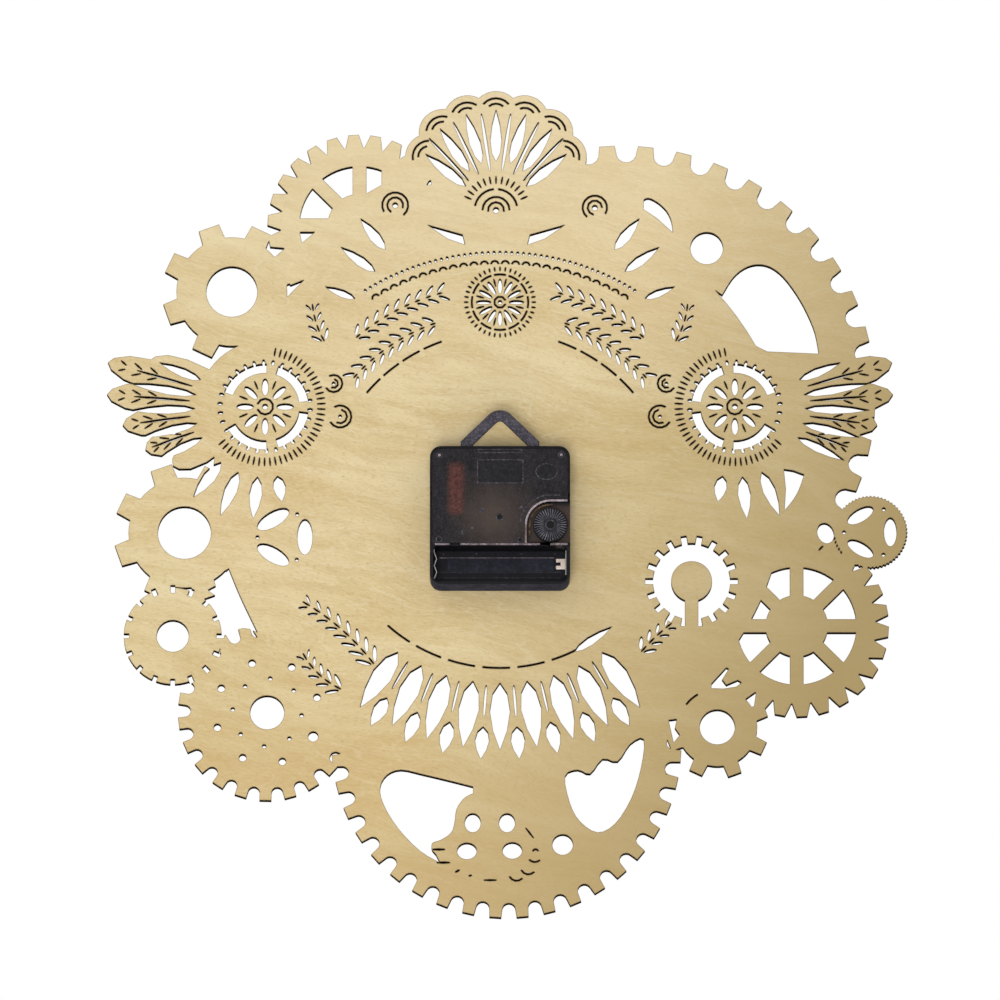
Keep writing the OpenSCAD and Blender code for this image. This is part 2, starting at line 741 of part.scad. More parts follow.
module front_case() {
  color("black") back_view() {
    difference() {
      union() {
        slab(case_front, 0) case_outline();
        rod([0, 0], neck_end, case_front + cut / 2, neck_r);
      }
      // gear room
      slab(floor_w, cut) round_rect(-case_in, case_in, divider_top, room_top, room_corner_r);
      // seat of the rear cover
      slab(cover_in, cut) cover_flat(0);
      // notches at the latches
      block(-case_size, latch_depth - case_size / 2, latch_left[0], latch_left[1], latch_w, cut);
      block(case_size / 2 - latch_depth, case_size, latch_right[0], latch_right[1], latch_w, cut);
      // battery bay
      slab(bay_floor, cut) round_rect(-bay_half, bay_half, bay_low, bay_high, bay_corner_r);
      // side opening at the knob
      block(case_in - room_corner_r, case_size, divider_top, knob_at[1] + well_r + 1,
        -well_depth - well_floor_t, cut);
      // slots for the hanger's feet
      for (side = [-1, 1]) {
        block(side * hanger_span / 2 - hanger_foot / 2 - air, side * hanger_span / 2 + hanger_foot / 2 + air,
          room_top - cut, case_top + cut, hanger_w - air, hanger_w + hanger_t + air);
      }
      // slots for the tails of the contacts
      for (side = [-1, 1]) {
        slot_at = side * (contact_at - contact_t / 2);
        block(slot_at - slot_half, slot_at + slot_half, bay_high - bay_corner_r, divider_top + room_corner_r,
          tail_w - air, tail_w + tail_h + air);
      }
      // bore of the neck
      rod([0, 0], neck_end - cut, floor_w + cut, hour_pipe_r + running_gap);
    }
    difference() {
      union() {
        // posts that carry the middle plate
        for (p = posts) {
          rod(p, floor_w - cut / 2, plate_front, post_r);
        }
        // bearing of the knob's stem
        rod(knob_at, floor_w - cut / 2, floor_w + 1.6, knob_bearing_r);
      }
      rod(knob_at, floor_w + air, floor_w + 3, knob_pivot_r + running_gap);
    }
    // stud of the minute wheel
    rod(minute_at, floor_w - cut / 2, plate_front - 0.3, stud_r);
  }
}

// bosses on the cover that carry the rear pivots
module pivot_bosses() {
  for (p = [fifth_at, rotor_at, third_at, [0, 0]]) {
    rod(p, boss_end, cover_in + cut / 2, boss_r);
  }
}

module rear_cover() {
  color("black") back_view() difference() {
    union() {
      slab(cover_in, cover_out) cover_flat(cover_fit);
      // outside of the well
      slab(-well_depth - well_floor_t, cover_in + cut / 2) intersection() {
        well_flat(1);
        translate([-case_in + air, divider_top + air]) square([case_in * 2 - 2 * air, case_size]);
      }
      slab(-well_depth - well_floor_t, -well_depth) intersection() {
        well_flat(0);
        translate([0, divider_top + air]) square([case_size / 2, case_size]);
      }
      pivot_bosses();
    }
    // inside of the well
    slab(-well_depth, cut) intersection() {
      well_flat(0);
      translate([0, divider_top]) square([case_size, case_size]);
    }
    rod(knob_at, -well_depth - 2, 0, stem_r + running_gap);
    for (p = [fifth_at, rotor_at, third_at, [0, 0]]) {
      rod(p, boss_end - cut, cover_in + 0.5, pivot_r + running_gap);
    }
    // notches that take the two latches
    for (u = [-18, 18]) {
      block(u - 2, u + 2, bay_high - cut, bay_high + 1.1, cover_in - cut, cut);
    }
  }
}

// right half of the hanger's outline: outside of the bend, leg, foot, and back up along the inside
function hanger_half() =
  let(foot = [hanger_span / 2, case_top + hanger_rise], d = foot - hanger_centre,
    tangent = atan2(d[1], d[0]) + acos(hanger_bend / norm(d)), out = polar(1, tangent),
    outer = foot + out * hanger_leg / 2, inner = foot - out * hanger_leg / 2, half = hanger_foot / 2,
    drop = out[0] / out[1])
  concat([for (k = [0:hanger_steps]) hanger_centre
      + polar(hanger_bend + hanger_leg / 2, 90 + (tangent - 90) * k / hanger_steps)],
    [[foot[0] + half, outer[1] - (foot[0] + half - outer[0]) * drop], [foot[0] + half, room_top - 1],
      [foot[0] - half, room_top - 1], [foot[0] - half, inner[1] + (inner[0] - foot[0] + half) * drop]],
    [for (k = [hanger_steps:-1:0]) hanger_centre
      + polar(hanger_bend - hanger_leg / 2, 90 + (tangent - 90) * k / hanger_steps)]);

module hanger() {
  right = hanger_half();
  left = [for (k = [len(right) - 2:-1:1]) [-right[k][0], right[k][1]]];
  color("black") back_view() slab(hanger_w, hanger_w + hanger_t) polygon(concat(right, left));
}

module mid_plate() {
  color("white") back_view() difference() {
    slab(plate_front, plate_back)
      round_rect(-case_in + 1.2, case_in - 1.2, divider_top + 0.3, room_top - 1, 2);
    rod([0, 0], plate_front - cut, plate_back + cut, minute_tube_r + running_gap);
    rod(knob_at, plate_front - cut, plate_back + cut, stem_r + 0.3);
    for (p = [fifth_at, rotor_at, third_at]) {
      rod(p, plate_front - cut, plate_back + cut, pivot_r + running_gap);
    }
  }
}

module circuit_board() {
  color("green") back_view()
    block(board_left, board_right, board_low, board_high, plate_back, plate_back + board_t);
}

module chip() {
  color("dimgray") back_view() translate([chip_at[0], chip_at[1], plate_back + board_t])
    cylinder(h = 1, r1 = 3.2, r2 = 2, $fn = 64);
}

module quartz_crystal() {
  color("silver") back_view() 
    translate([crystal_at[0], crystal_at[1], plate_back + board_t + crystal_r]) rotate([0, 90, 0])
    cylinder(h = crystal_l, r = crystal_r, $fn = 48);
}

module coil_bobbin() {
  color("white") back_view() difference() {
    union() {
      translate([coil_u, coil_low, coil_w]) rotate([-90, 0, 0])
        cylinder(h = coil_high - coil_low, r = coil_tube_r, $fn = 64);
      for (v = [coil_low - flange_t, coil_high]) {
        block(coil_u - flange_half, coil_u + flange_half, v, v + flange_t,
          coil_w - coil_r - 0.3, coil_w + coil_r + 0.3);
      }
    }
    block(coil_u - core_half - snug, coil_u + core_half + snug, coil_low - 3, coil_high + 3,
      core_w - snug, core_w + core_t + snug);
  }
}

module coil_winding() {
  color("brown") back_view() translate([coil_u, coil_low + snug, coil_w]) rotate([-90, 0, 0]) difference() {
    cylinder(h = coil_high - coil_low - 2 * snug, r = coil_r, $fn = 96);
    translate([0, 0, -cut]) cylinder(h = coil_high, r = coil_tube_r + snug, $fn = 64);
    translate([0, 0, coil_high - cut]) cylinder(h = cut, r = coil_tube_r + snug, $fn = 64);
  }
}

module iron_core() {
  color("silver") back_view() block(coil_u - core_half, coil_u + core_half, stator_low + 0.4, stator_high - 0.4,
    core_w, core_w + core_t);
}

module stator() {
  color("silver") back_view() slab(stator_w, stator_w + stator_t) difference() {
    union() {
      translate(rotor_at) circle(stator_ring_r, $fn = 96);
      translate([rotor_at[0] - magnet_r, rotor_at[1]]) square([stator_arm_w, stator_high - rotor_at[1]]);
      translate([coil_u - 2, stator_high - 3]) square([rotor_at[0] - coil_u + 2, 3]);
      translate([coil_u - 2, stator_low]) square([rotor_at[0] - coil_u, 3.4]);
    }
    translate(rotor_at) circle(magnet_r + magnet_air, $fn = 96);
  }
}

module rotor_magnet() {
  color("dimgray") back_view() difference() {
    rod(rotor_at, magnet_w, magnet_w + magnet_t, magnet_r);
    rod(rotor_at, magnet_w - cut, magnet_w + magnet_t + cut, magnet_core_r + snug);
  }
}

// arbor with a pivot at each end, from the middle plate to the cover
module arbor(p) {
  rod(p, plate_back + air, boss_end - air, arbor_r);
  rod(p, plate_front + 0.1, plate_back + 1, pivot_r);
  rod(p, boss_end - 1, cover_in + 0.3, pivot_r);
}

module rotor_pinion() {
  color("white") back_view() {
    rod(rotor_at, magnet_w, magnet_w + magnet_t, magnet_core_r);
    arbor(rotor_at);
    gear_slab(rotor_z, rotor_m, rotor_phase, rotor_at, fifth_w - 0.2, fifth_w + wheel_t + 0.2);
  }
}

module fifth_wheel() {
  color("ivory") back_view() {
    arbor(fifth_at);
    gear_slab(fifth_z, rotor_m, fifth_phase, fifth_at, fifth_w, fifth_w + wheel_t);
    gear_slab(fifth_pinion_z, second_m, fifth_pinion_phase, fifth_at,
      second_w - 0.2, second_w + wheel_t + 0.2);
    rod(fifth_at, second_w + wheel_t + 0.2, fifth_w, 1.2);
  }
}

module second_wheel() {
  color("ivory") back_view() {
    rod([0, 0], second_hand_w, boss_end - 1, second_arbor_r);
    rod([0, 0], minute_tube_back + air, boss_end - air, arbor_r);
    rod([0, 0], boss_end - 1, cover_in + 0.3, pivot_r);
    gear_slab(second_z, second_m, second_phase, [0, 0], second_w, second_w + wheel_t);
    gear_slab(second_pinion_z, third_m, second_pinion_phase, [0, 0], third_w - 0.1, second_w);
  }
}

module third_wheel() {
  color("ivory") back_view() {
    arbor(third_at);
    gear_slab(third_z, third_m, third_phase, third_at, third_w, third_w + wheel_t);
    gear_slab(third_pinion_z, centre_m, third_pinion_phase, third_at, centre_w - 0.1, third_w);
  }
}

module centre_wheel() {
  color("ivory") back_view() difference() {
    union() {
      gear_slab(centre_z, centre_m, centre_phase, [0, 0], centre_w, centre_w + wheel_t);
      rod([0, 0], plate_back + 0.1, centre_w + wheel_t + 0.2, 3);
    }
    rod([0, 0], plate_back - cut, minute_tube_back + cut, minute_tube_r + running_gap);
  }
}

module minute_arbor() {
  color("ivory") back_view() difference() {
    union() {
      rod([0, 0], minute_tube_end, minute_tube_back, minute_tube_r);
      gear_slab(cannon_z, motion_m, cannon_phase, [0, 0], cannon_w, plate_front - air);
    }
    rod([0, 0], minute_tube_end - cut, minute_tube_back + cut, second_arbor_r + running_gap);
  }
}

module minute_wheel() {
  color("ivory") back_view() difference() {
    union() {
      gear_slab(minute_z, motion_m, minute_phase, minute_at, minute_w, minute_w + wheel_t);
      gear_slab(minute_pinion_z, hour_m, minute_pinion_phase, minute_at, floor_w + 0.2, minute_w);
      rod(minute_at, minute_w + wheel_t, plate_front - 0.2, 1.6);
    }
    rod(minute_at, floor_w, plate_front + cut, stud_r + running_gap);
  }
}

module hour_wheel() {
  color("ivory") back_view() difference() {
    union() {
      gear_slab(hour_z, hour_m, hour_phase, [0, 0], hour_w, hour_w + hour_wheel_t);
      rod([0, 0], hour_pipe_end, hour_w + hour_wheel_t, hour_pipe_r);
    }
    rod([0, 0], hour_pipe_end - cut, hour_w + hour_wheel_t + cut, minute_tube_r + running_gap);
  }
}

module setting_knob() {
  color("black") back_view() {
    rod(knob_at, -well_depth + 0.5, -0.8, knob_r);
    rod(knob_at, minute_w + wheel_t, -well_depth + 0.5, stem_r);
    rod(knob_at, floor_w + 0.3, minute_w, knob_pivot_r);
    gear_slab(knob_z, motion_m, knob_phase, knob_at, minute_w, minute_w + wheel_t);
    for (k = [0:35]) {
      translate(knob_at) rotate(10 * k) translate([2.2, -0.2, -0.8]) cube([knob_r - 2.6, 0.4, 0.35]);
    }
  }
}

module contact_plus() {
  color("silver") back_view() {
    // plate that the button of the cell touches
    block(contact_at - contact_t, contact_at, bay_low + 3, bay_high - 2, bay_floor + 3, -2.4);
    // tail up the side wall to the circuit board
    block(contact_at - contact_t, contact_at, bay_high - 2.5, board_low + 4, tail_w, tail_w + tail_h);
    block(board_right, contact_at, board_low + 4 - contact_t, board_low + 4, tail_w, tail_w + tail_h);
  }
}

module contact_minus() {
  s = -contact_at;
  color("silver") back_view() {
    // zig-zag spring that presses on the flat end of the cell
    fold = [for (k = [1:5]) bay_low + k * cell_d * 0.185];
    slab(bay_floor + 4, -3.4) polygon([[s, fold[0] - 1], [s + contact_t, fold[0] - 1],
      [s + spring_h + contact_t, fold[1] - 1], [s + contact_t, fold[2] - 1],
      [s + spring_h + contact_t, fold[3] - 1], [s + contact_t, fold[4] - 1], [s + contact_t, bay_high - 1],
      [s, bay_high - 1], [s, fold[4] - 1], [s + spring_h, fold[3] - 1], [s, fold[2] - 1],
      [s + spring_h, fold[1] - 1]]);
    // tail up the side wall and along the top to the circuit board
    block(s, s + contact_t, bay_high - 2, tail_top, tail_w, tail_w + tail_h);
    block(s, board_left, tail_top - contact_t, tail_top, tail_w, tail_w + tail_h);
    block(board_left - contact_t, board_left, board_high - 3, tail_top, tail_w, tail_w + tail_h);
  }
}

// plain ring round the neck
module ring_part(w0, w1, r_out, r_in) {
  difference() {
    rod([0, 0], w0, w1, r_out);
    rod([0, 0], w0 - cut, w1 + cut, r_in);
  }
}

module rubber_washer() {
  color("black") back_view() ring_part(panel_back, case_front, neck_r + 6, neck_r + 0.1);
}

module brass_washer() {
  color("gold") back_view() ring_part(washer_front, panel_front, neck_r + 3.5, neck_r + 0.15);
}

module hex_nut() {
  color("gold") back_view() difference() {
    slab(nut_front, washer_front) circle((neck_r + 2) / cos(30), $fn = 6);
    rod([0, 0], nut_front - cut, washer_front + cut, neck_r + snug);
  }
}

// a hand drawn upwards, turned to its angle; clockwise on the dial is anticlockwise from the back
module hand_body(angle, w0, bore_r, hub_r) {
  difference() {
    union() {
      slab(w0 + 0.4, w0 + 0.4 + hand_t) rotate(angle) children();
      rod([0, 0], w0, w0 + hand_hub_t, hub_r);
    }
    rod([0, 0], w0 - cut, w0 + hand_hub_t + cut, bore_r + snug);
  }
}

module hour_hand() {
  color("black") back_view() hand_body(hour_angle, hour_hand_w, hour_pipe_r, hour_pipe_r + 1.2) {
    polygon([[-1.6, 0], [-1.9, 0.55 * hour_hand_l], [-0.8, 0.62 * hour_hand_l], [-3.4, 0.76 * hour_hand_l],
      [0, hour_hand_l], [3.4, 0.76 * hour_hand_l], [0.8, 0.62 * hour_hand_l], [1.9, 0.55 * hour_hand_l],
      [1.6, 0]]);
  }
}

module minute_hand() {
  color("black") back_view() hand_body(minute_angle, minute_hand_w, minute_tube_r, minute_tube_r + 1.4) {
    polygon([[-1.2, 0], [-1.5, 0.6 * minute_hand_l], [-0.7, 0.66 * minute_hand_l],
      [-2.8, 0.77 * minute_hand_l], [0, minute_hand_l], [2.8, 0.77 * minute_hand_l],
      [0.7, 0.66 * minute_hand_l], [1.5, 0.6 * minute_hand_l], [1.2, 0]]);
  }
}

module second_hand() {
  color("black") back_view() difference() {
    union() {
      slab(second_hand_w + 0.4, second_hand_w + 0.4 + hand_t) rotate(second_angle) {
        polygon([[-0.7, -second_tail_l], [-0.45, second_hand_l * 0.6], [-0.2, second_hand_l],
          [0.2, second_hand_l], [0.45, second_hand_l * 0.6], [0.7, -second_tail_l]]);
        translate([0, -second_tail_l]) circle(2.2, $fn = 48);
      }
      rod([0, 0], second_hand_w - 0.2, second_hand_w + hand_hub_t, second_arbor_r + 0.9);
    }
    rod([0, 0], second_hand_w, second_hand_w + hand_hub_t + cut, second_arbor_r + snug);
  }
}

gear_panel();
front_case();
rear_cover();
hanger();
mid_plate();
circuit_board();
chip();
quartz_crystal();
coil_bobbin();
coil_winding();
iron_core();
stator();
rotor_magnet();
rotor_pinion();
fifth_wheel();
second_wheel();
third_wheel();
centre_wheel();
minute_arbor();
minute_wheel();
hour_wheel();
setting_knob();
contact_plus();
contact_minus();
rubber_washer();
brass_washer();
hex_nut();
hour_hand();
minute_hand();
second_hand();
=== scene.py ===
# %% [markdown]
# ## The clock's frame
# The imported part brings every solid in its true place. The looks are built around it, so the first
# cell loads it, with a helper that reads the box of a solid.

# %% Load the imported clock
import math

import bmesh
import bpy
from mathutils import Matrix, Vector


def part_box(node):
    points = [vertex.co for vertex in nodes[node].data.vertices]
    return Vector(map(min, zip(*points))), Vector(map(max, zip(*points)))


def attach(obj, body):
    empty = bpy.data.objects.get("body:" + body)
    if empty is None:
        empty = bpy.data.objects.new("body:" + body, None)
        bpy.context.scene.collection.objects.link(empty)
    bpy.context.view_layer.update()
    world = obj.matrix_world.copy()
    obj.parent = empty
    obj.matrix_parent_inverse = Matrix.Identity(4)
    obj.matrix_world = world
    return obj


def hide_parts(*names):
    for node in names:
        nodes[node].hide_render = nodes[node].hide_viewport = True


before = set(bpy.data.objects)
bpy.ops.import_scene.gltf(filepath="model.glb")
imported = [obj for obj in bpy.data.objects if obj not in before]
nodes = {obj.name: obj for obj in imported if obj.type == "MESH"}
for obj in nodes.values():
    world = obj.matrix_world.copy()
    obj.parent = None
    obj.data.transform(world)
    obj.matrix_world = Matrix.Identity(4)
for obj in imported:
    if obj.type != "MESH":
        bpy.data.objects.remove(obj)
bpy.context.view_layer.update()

MM = 0.001

# %% [markdown]
# ## Sizes read from the solids
# What the box of a solid can tell isn't measured again: the depth of the panel, the sides of the case
# and the place of the knob come from there. The drawings are made as the clock is photographed, from
# behind, with u to the right, v up and w out towards the wall, all in millimetres.

# %% Sizes and the view from behind
panel_low, panel_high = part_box("gear_panel")
case_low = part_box("front_case")[0]
cover_low, cover_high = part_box("rear_cover")
knob_low, knob_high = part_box("setting_knob")

panel_front = panel_low.y / MM
panel_back = panel_high.y / MM
case_right = -case_low.x / MM
case_bottom = case_low.z / MM
knob_u = -(knob_low.x + knob_high.x) / 2 / MM
knob_v = (knob_low.z + knob_high.z) / 2 / MM
knob_r = (knob_high.x - knob_low.x) / 2 / MM
knob_face = knob_high.y / MM

FROM_BEHIND = Matrix(((-MM, 0, 0, 0), (0, 0, MM, 0), (0, MM, 0, 0), (0, 0, 0, 1)))
print("panel from", round(panel_front, 2), "to", round(panel_back, 2))
print("knob at", round(knob_u, 2), round(knob_v, 2))

# %% [markdown]
# ## Helpers for materials
# A finish is a small tree of nodes. Written out, each tree would take a page, so small helpers keep
# them short. One adds a node and fills its sockets, one turns a colour as seen on a screen into the
# linear numbers that Blender wants, and the rest name the few nodes that every finish uses.


# %% Helpers for node trees
def screen(red, green, blue):
    """A colour as seen on the screen, 0 to 255, as a linear colour."""
    def linear(c):
        c /= 255
        return c / 12.92 if c <= 0.04045 else ((c + 0.055) / 1.055) ** 2.4
    return (linear(red), linear(green), linear(blue), 1)


def finish_named(name):
    """A new material with its shader, ready for a tree."""
    material = bpy.data.materials.new(name)
    material.use_nodes = True
    tree = material.node_tree
    return material, tree, tree.nodes["Principled BSDF"]


def add(tree, kind, settings=None, **sockets):
    """A node with its settings and sockets; a socket takes a value or another node's output."""
    made = tree.nodes.new("ShaderNode" + kind)
    for key, value in (settings or {}).items():
        setattr(made, key, value)
    for key, value in sockets.items():
        number = key.startswith("i") and key[1:].isdigit()
        socket = made.inputs[int(key[1:])] if number else made.inputs[key.replace("_", " ")]
        if isinstance(value, bpy.types.NodeSocket):
            tree.links.new(value, socket)
        else:
            socket.default_value = value
    return made


def place_of(tree, scale=(1, 1, 1), turn=(0, 0, 0), shift=(0, 0, 0)):
    """Object coordinates, stretched, turned and shifted."""
    where = add(tree, "TexCoord").outputs["Object"]
    return add(tree, "Mapping", Vector=where, Scale=scale, Rotation=turn, Location=shift).outputs[0]


def noise(tree, vector, detail=3.0, rough=0.5, bend=0.0):
    """Smooth noise, about one blot to each unit of the coordinates."""
    made = add(tree, "TexNoise", Vector=vector, Scale=1.0, Detail=detail, Roughness=rough, Distortion=bend)
    return made.outputs["Fac"]


def between(tree, value, low, high, out_low=0.0, out_high=1.0):
    """Stretches a value from one range to another and cuts off the rest."""
    made = add(tree, "MapRange", Value=value, From_Min=low, From_Max=high, To_Min=out_low, To_Max=out_high)
    return made.outputs[0]


def mix(tree, factor, first, second):
    """The first colour where the factor is 0, the second where it is 1."""
    return add(tree, "Mix", {"data_type": "RGBA"}, i0=factor, i6=first, i7=second).outputs[2]


def math_node(tree, way, first, second=0.0):
    """A sum, product or comparison of two values."""
    return add(tree, "Math", {"operation": way}, i0=first, i1=second).outputs[0]


def bumps(tree, shader, height, strength, depth):
    """Fine relief of a surface, with its full depth in metres."""
    relief = add(tree, "Bump", Height=height, Strength=strength, Distance=depth)
    tree.links.new(relief.outputs[0], shader.inputs["Normal"])


print("helpers for materials ready")

# %% [markdown]
# ## Birch plywood
# The panel is bare birch plywood. Birch is pale and even: soft cloudy bands that run a little downhill
# as seen from behind, a few pale ripples, and countless short flecks, barely darker or lighter. Noise
# stretched along the grain gives each of them, on Object coordinates so that the pattern keeps its
# true size. A picture of wood would repeat and blur at this scale, and noise doesn't.

# %% Grain of the plywood
plywood, tree, shader = finish_named("birch_face")
grain_slope = math.radians(12)
sway_reach = 35 * MM
ply_depth = 6
sway = noise(tree, place_of(tree, (9, 9, 14)), 2.0)
sway_height = math_node(tree, "MULTIPLY", math_node(tree, "SUBTRACT", sway, 0.5), sway_reach)
sloping = place_of(tree, turn=(0, grain_slope, 0))
lifted = add(tree, "CombineXYZ", Z=sway_height).outputs[0]
waved = add(tree, "VectorMath", {"operation": "ADD"}, i0=sloping, i1=lifted).outputs[0]


def along_grain(length, width):
    """Coordinates on the waving grain: features about this long and this wide, in mm."""
    sizes = (1 / (length * MM), 1 / (ply_depth * MM), 1 / (width * MM))
    return add(tree, "Mapping", Vector=waved, Scale=sizes).outputs[0]


bands = noise(tree, along_grain(95, 17), 3.0, 0.5, 0.6)
veins = noise(tree, along_grain(24, 4.2), 3.0, 0.55, 0.3)
ripples = noise(tree, along_grain(38, 7), 2.0, 0.5, 1.1)
fibres = noise(tree, along_grain(3.4, 0.6), 2.0, 0.5)
pores = noise(tree, along_grain(1.7, 0.42), 1.0, 0.4)
clouds = noise(tree, place_of(tree, (14, 14, 14)), 3.0)
print("grain slopes", round(math.degrees(grain_slope)), "degrees")

# %% [markdown]
# The tints are laid over each other from the widest to the finest. The last three tints go by place
# instead of by noise: painted shade makes the sheet a little browner below and towards one corner, and
# painted light makes it paler at the top.

# %% Colours of the plywood
spot = add(tree, "SeparateXYZ", Vector=add(tree, "TexCoord").outputs["Object"])
partly_up = math_node(tree, "MULTIPLY", spot.outputs["Z"], 0.45)
corner = math_node(tree, "MULTIPLY", math_node(tree, "ADD", spot.outputs["X"], partly_up), -1.0)
low = between(tree, spot.outputs["Z"], -0.04, -0.14)
wood = mix(tree, between(tree, bands, 0.34, 0.66), screen(213, 187, 131), screen(233, 215, 168))
wood = mix(tree, between(tree, clouds, 0.35, 0.7, 0.0, 0.5), wood, screen(228, 199, 150))
wood = mix(tree, between(tree, veins, 0.45, 0.72, 0.0, 0.5), wood, screen(203, 172, 114))
from_ripple = math_node(tree, "ABSOLUTE", math_node(tree, "SUBTRACT", ripples, 0.5))
wood = mix(tree, between(tree, from_ripple, 0.004, 0.022, 0.27, 0.0), wood, screen(240, 228, 194))
wood = mix(tree, between(tree, fibres, 0.4, 0.7, 0.0, 0.3), wood, screen(243, 226, 183))
wood = mix(tree, between(tree, pores, 0.56, 0.72, 0.0, 0.34), wood, screen(186, 154, 100))
# Painted shade below and towards the lower corner, painted light at the top.
wood = mix(tree, math_node(tree, "MULTIPLY", low, 0.5), wood, screen(203, 169, 110))
wood = mix(tree, between(tree, spot.outputs["Z"], 0.05, 0.15, 0.0, 0.45), wood, screen(245, 225, 184))
wood = mix(tree, between(tree, corner, 0.0, 0.16, 0.0, 0.95), wood, screen(172, 149, 100))
print("face coloured in ten tints")

# %% [markdown]
# The laser scorches a hair-thin margin along each cut. Near edges that face down, painted shade makes
# the margin wider and almost black. Painting that by hand would follow no later change of a cut. So
# rays sent into the wood find how near an edge is, and a rounded normal tells which way it faces.

# %% Scorched margins, painted shade on lower edges and polish of the plywood
margin, shade_margin = 0.4 * MM, 0.6 * MM
ray_count = 6
into_the_wood = {"inside": True, "only_local": True, "samples": ray_count}
inward = add(tree, "AmbientOcclusion", into_the_wood, Distance=margin)
wood = mix(tree, between(tree, inward.outputs["AO"], 0.62, 0.96, 0.7, 0.0), wood, screen(70, 46, 26))
# Painted shade: where the rounded normal leans down, near edges that face down, the face turns almost
# black.
rounded = add(tree, "Bevel", {"samples": ray_count}, Radius=shade_margin).outputs[0]
lean_to_shade = add(tree, "SeparateXYZ", Vector=rounded).outputs["Z"]
wood = mix(tree, between(tree, lean_to_shade, -0.1, -0.35, 0.0, 0.95), wood, screen(26, 16, 9))
tree.links.new(wood, shader.inputs["Base Color"])
tree.links.new(between(tree, fibres, 0.2, 0.8, 0.6, 0.72), shader.inputs["Roughness"])
shader.inputs["Specular IOR Level"].default_value = 0.25
sunk_pores = math_node(tree, "MULTIPLY", pores, -0.8)
bumps(tree, shader, math_node(tree, "ADD", fibres, sunk_pores), 0.2, 0.08 * MM)
print("made", plywood.name)

# %% [markdown]
# ## The burnt edge
# A laser burns through the sheet, so every cut wall is charred almost black. The glue lines between
# the plies and the cross ply in the middle burn a little differently, and fine streaks across the
# sheet show where the beam moved on. The plies are bands of the depth, so they stay in their place
# whatever is cut.

# %% Charred edge
char, tree, shader = finish_named("charred_edge")
ply_place = add(tree, "SeparateXYZ", Vector=add(tree, "TexCoord").outputs["Object"])
depth = between(tree, ply_place.outputs["Y"], panel_front * MM, panel_back * MM)
from_middle = math_node(tree, "ABSOLUTE", math_node(tree, "SUBTRACT", depth, 0.5))
half_middle_ply, half_glue = 0.17, 0.02
middle_ply = math_node(tree, "LESS_THAN", from_middle, half_middle_ply)
from_glue = math_node(tree, "ABSOLUTE", math_node(tree, "SUBTRACT", from_middle, half_middle_ply))
glue = math_node(tree, "LESS_THAN", from_glue, half_glue)
streaks = noise(tree, place_of(tree, (1600, 90, 1600)), 2.0)
burnt = mix(tree, streaks, screen(16, 10, 7), screen(32, 21, 14))
burnt = mix(tree, math_node(tree, "MULTIPLY", middle_ply, 0.25), burnt, screen(50, 34, 22))
burnt = mix(tree, glue, burnt, screen(9, 6, 5))
tree.links.new(burnt, shader.inputs["Base Color"])
shader.inputs["Roughness"].default_value = 0.9
shader.inputs["Specular IOR Level"].default_value = 0.0
bumps(tree, shader, streaks, 0.4, 0.1 * MM)
print("made", char.name)

# %% [markdown]
# ## Smoky plastic
# The movement's case is moulded in cheap black polystyrene that lets a little light through, with
# soft clouds, pale specks and dark pits. Its matt underside and the platform in the bay are painted
# paler and bluer, as a painted reflection, and the recess round the cell's platform is painted darker,
# as painted shade. The hanger is less polished. Thin edges, ridges, pins and the tops of the knob's
# ribs are painted pale, as painted highlights. One helper makes every part that is moulded, each with
# its own colours, polish and wear, because they differ in nothing else.


# %% Helper for moulded plastic
def brighter(colour, times):
    """A screen colour made so many times as bright."""
    return screen(*[min(255, c * times) for c in colour])


def moulded(name, dark, light, polish, grain=900, relief=0.12, contrast=0.35):
    """A plastic between two colours; a small polish is glossy, a high grain fine."""
    material, tree, shader = finish_named(name)
    finer = grain * 1.3
    cloud = noise(tree, place_of(tree, (150, 150, 150)), 5.0, 0.65)
    speck = noise(tree, place_of(tree, (grain, grain, grain)), 2.0)
    pits = noise(tree, place_of(tree, (finer, finer, finer), shift=(3, 5, 7)), 2.0)
    tint = mix(tree, between(tree, cloud, 0.36, 0.64), screen(*dark), screen(*light))
    tint = mix(tree, between(tree, speck, 0.48, 0.75, 0.0, contrast), tint, brighter(light, 2.1))
    tint = mix(tree, between(tree, pits, 0.5, 0.7, 0.0, contrast), tint, brighter(dark, 0.3))
    tree.links.new(tint, shader.inputs["Base Color"])
    tree.links.new(between(tree, speck, 0.3, 0.7, polish, polish + 0.14), shader.inputs["Roughness"])
    shader.inputs["Specular IOR Level"].default_value = 0.12
    bumps(tree, shader, speck, relief, 0.06 * MM)
    return material, tree, shader, tint


print("helper for plastic ready")

# %% Plastics of the case, cover marks and hanger
case_plastic = moulded("smoky_case", (8, 8, 10), (16, 16, 20), 0.34, contrast=0.2)[0]
# Painted reflection and painted shade: the platform in the bay is paler and bluer, the recess round it
# darker.
platform_reflection_plastic = moulded("bay_platform_painted_reflection", (24, 25, 33), (38, 40, 52), 0.4, 700, contrast=0.3)[0]
recess_plastic = moulded("bay_recess_painted_shade", (13, 13, 18), (24, 24, 32), 0.4, 700, contrast=0.3)[0]
# Painted reflection: the underside of the case is paler and bluer than the rest of the moulding.
underside_reflection_plastic = moulded("case_underside_painted_reflection", (40, 42, 55), (60, 62, 77), 0.62, contrast=0.2)[0]
underside_reflection_shader = underside_reflection_plastic.node_tree.nodes["Principled BSDF"]
underside_reflection_shader.inputs["Specular IOR Level"].default_value = 0.02
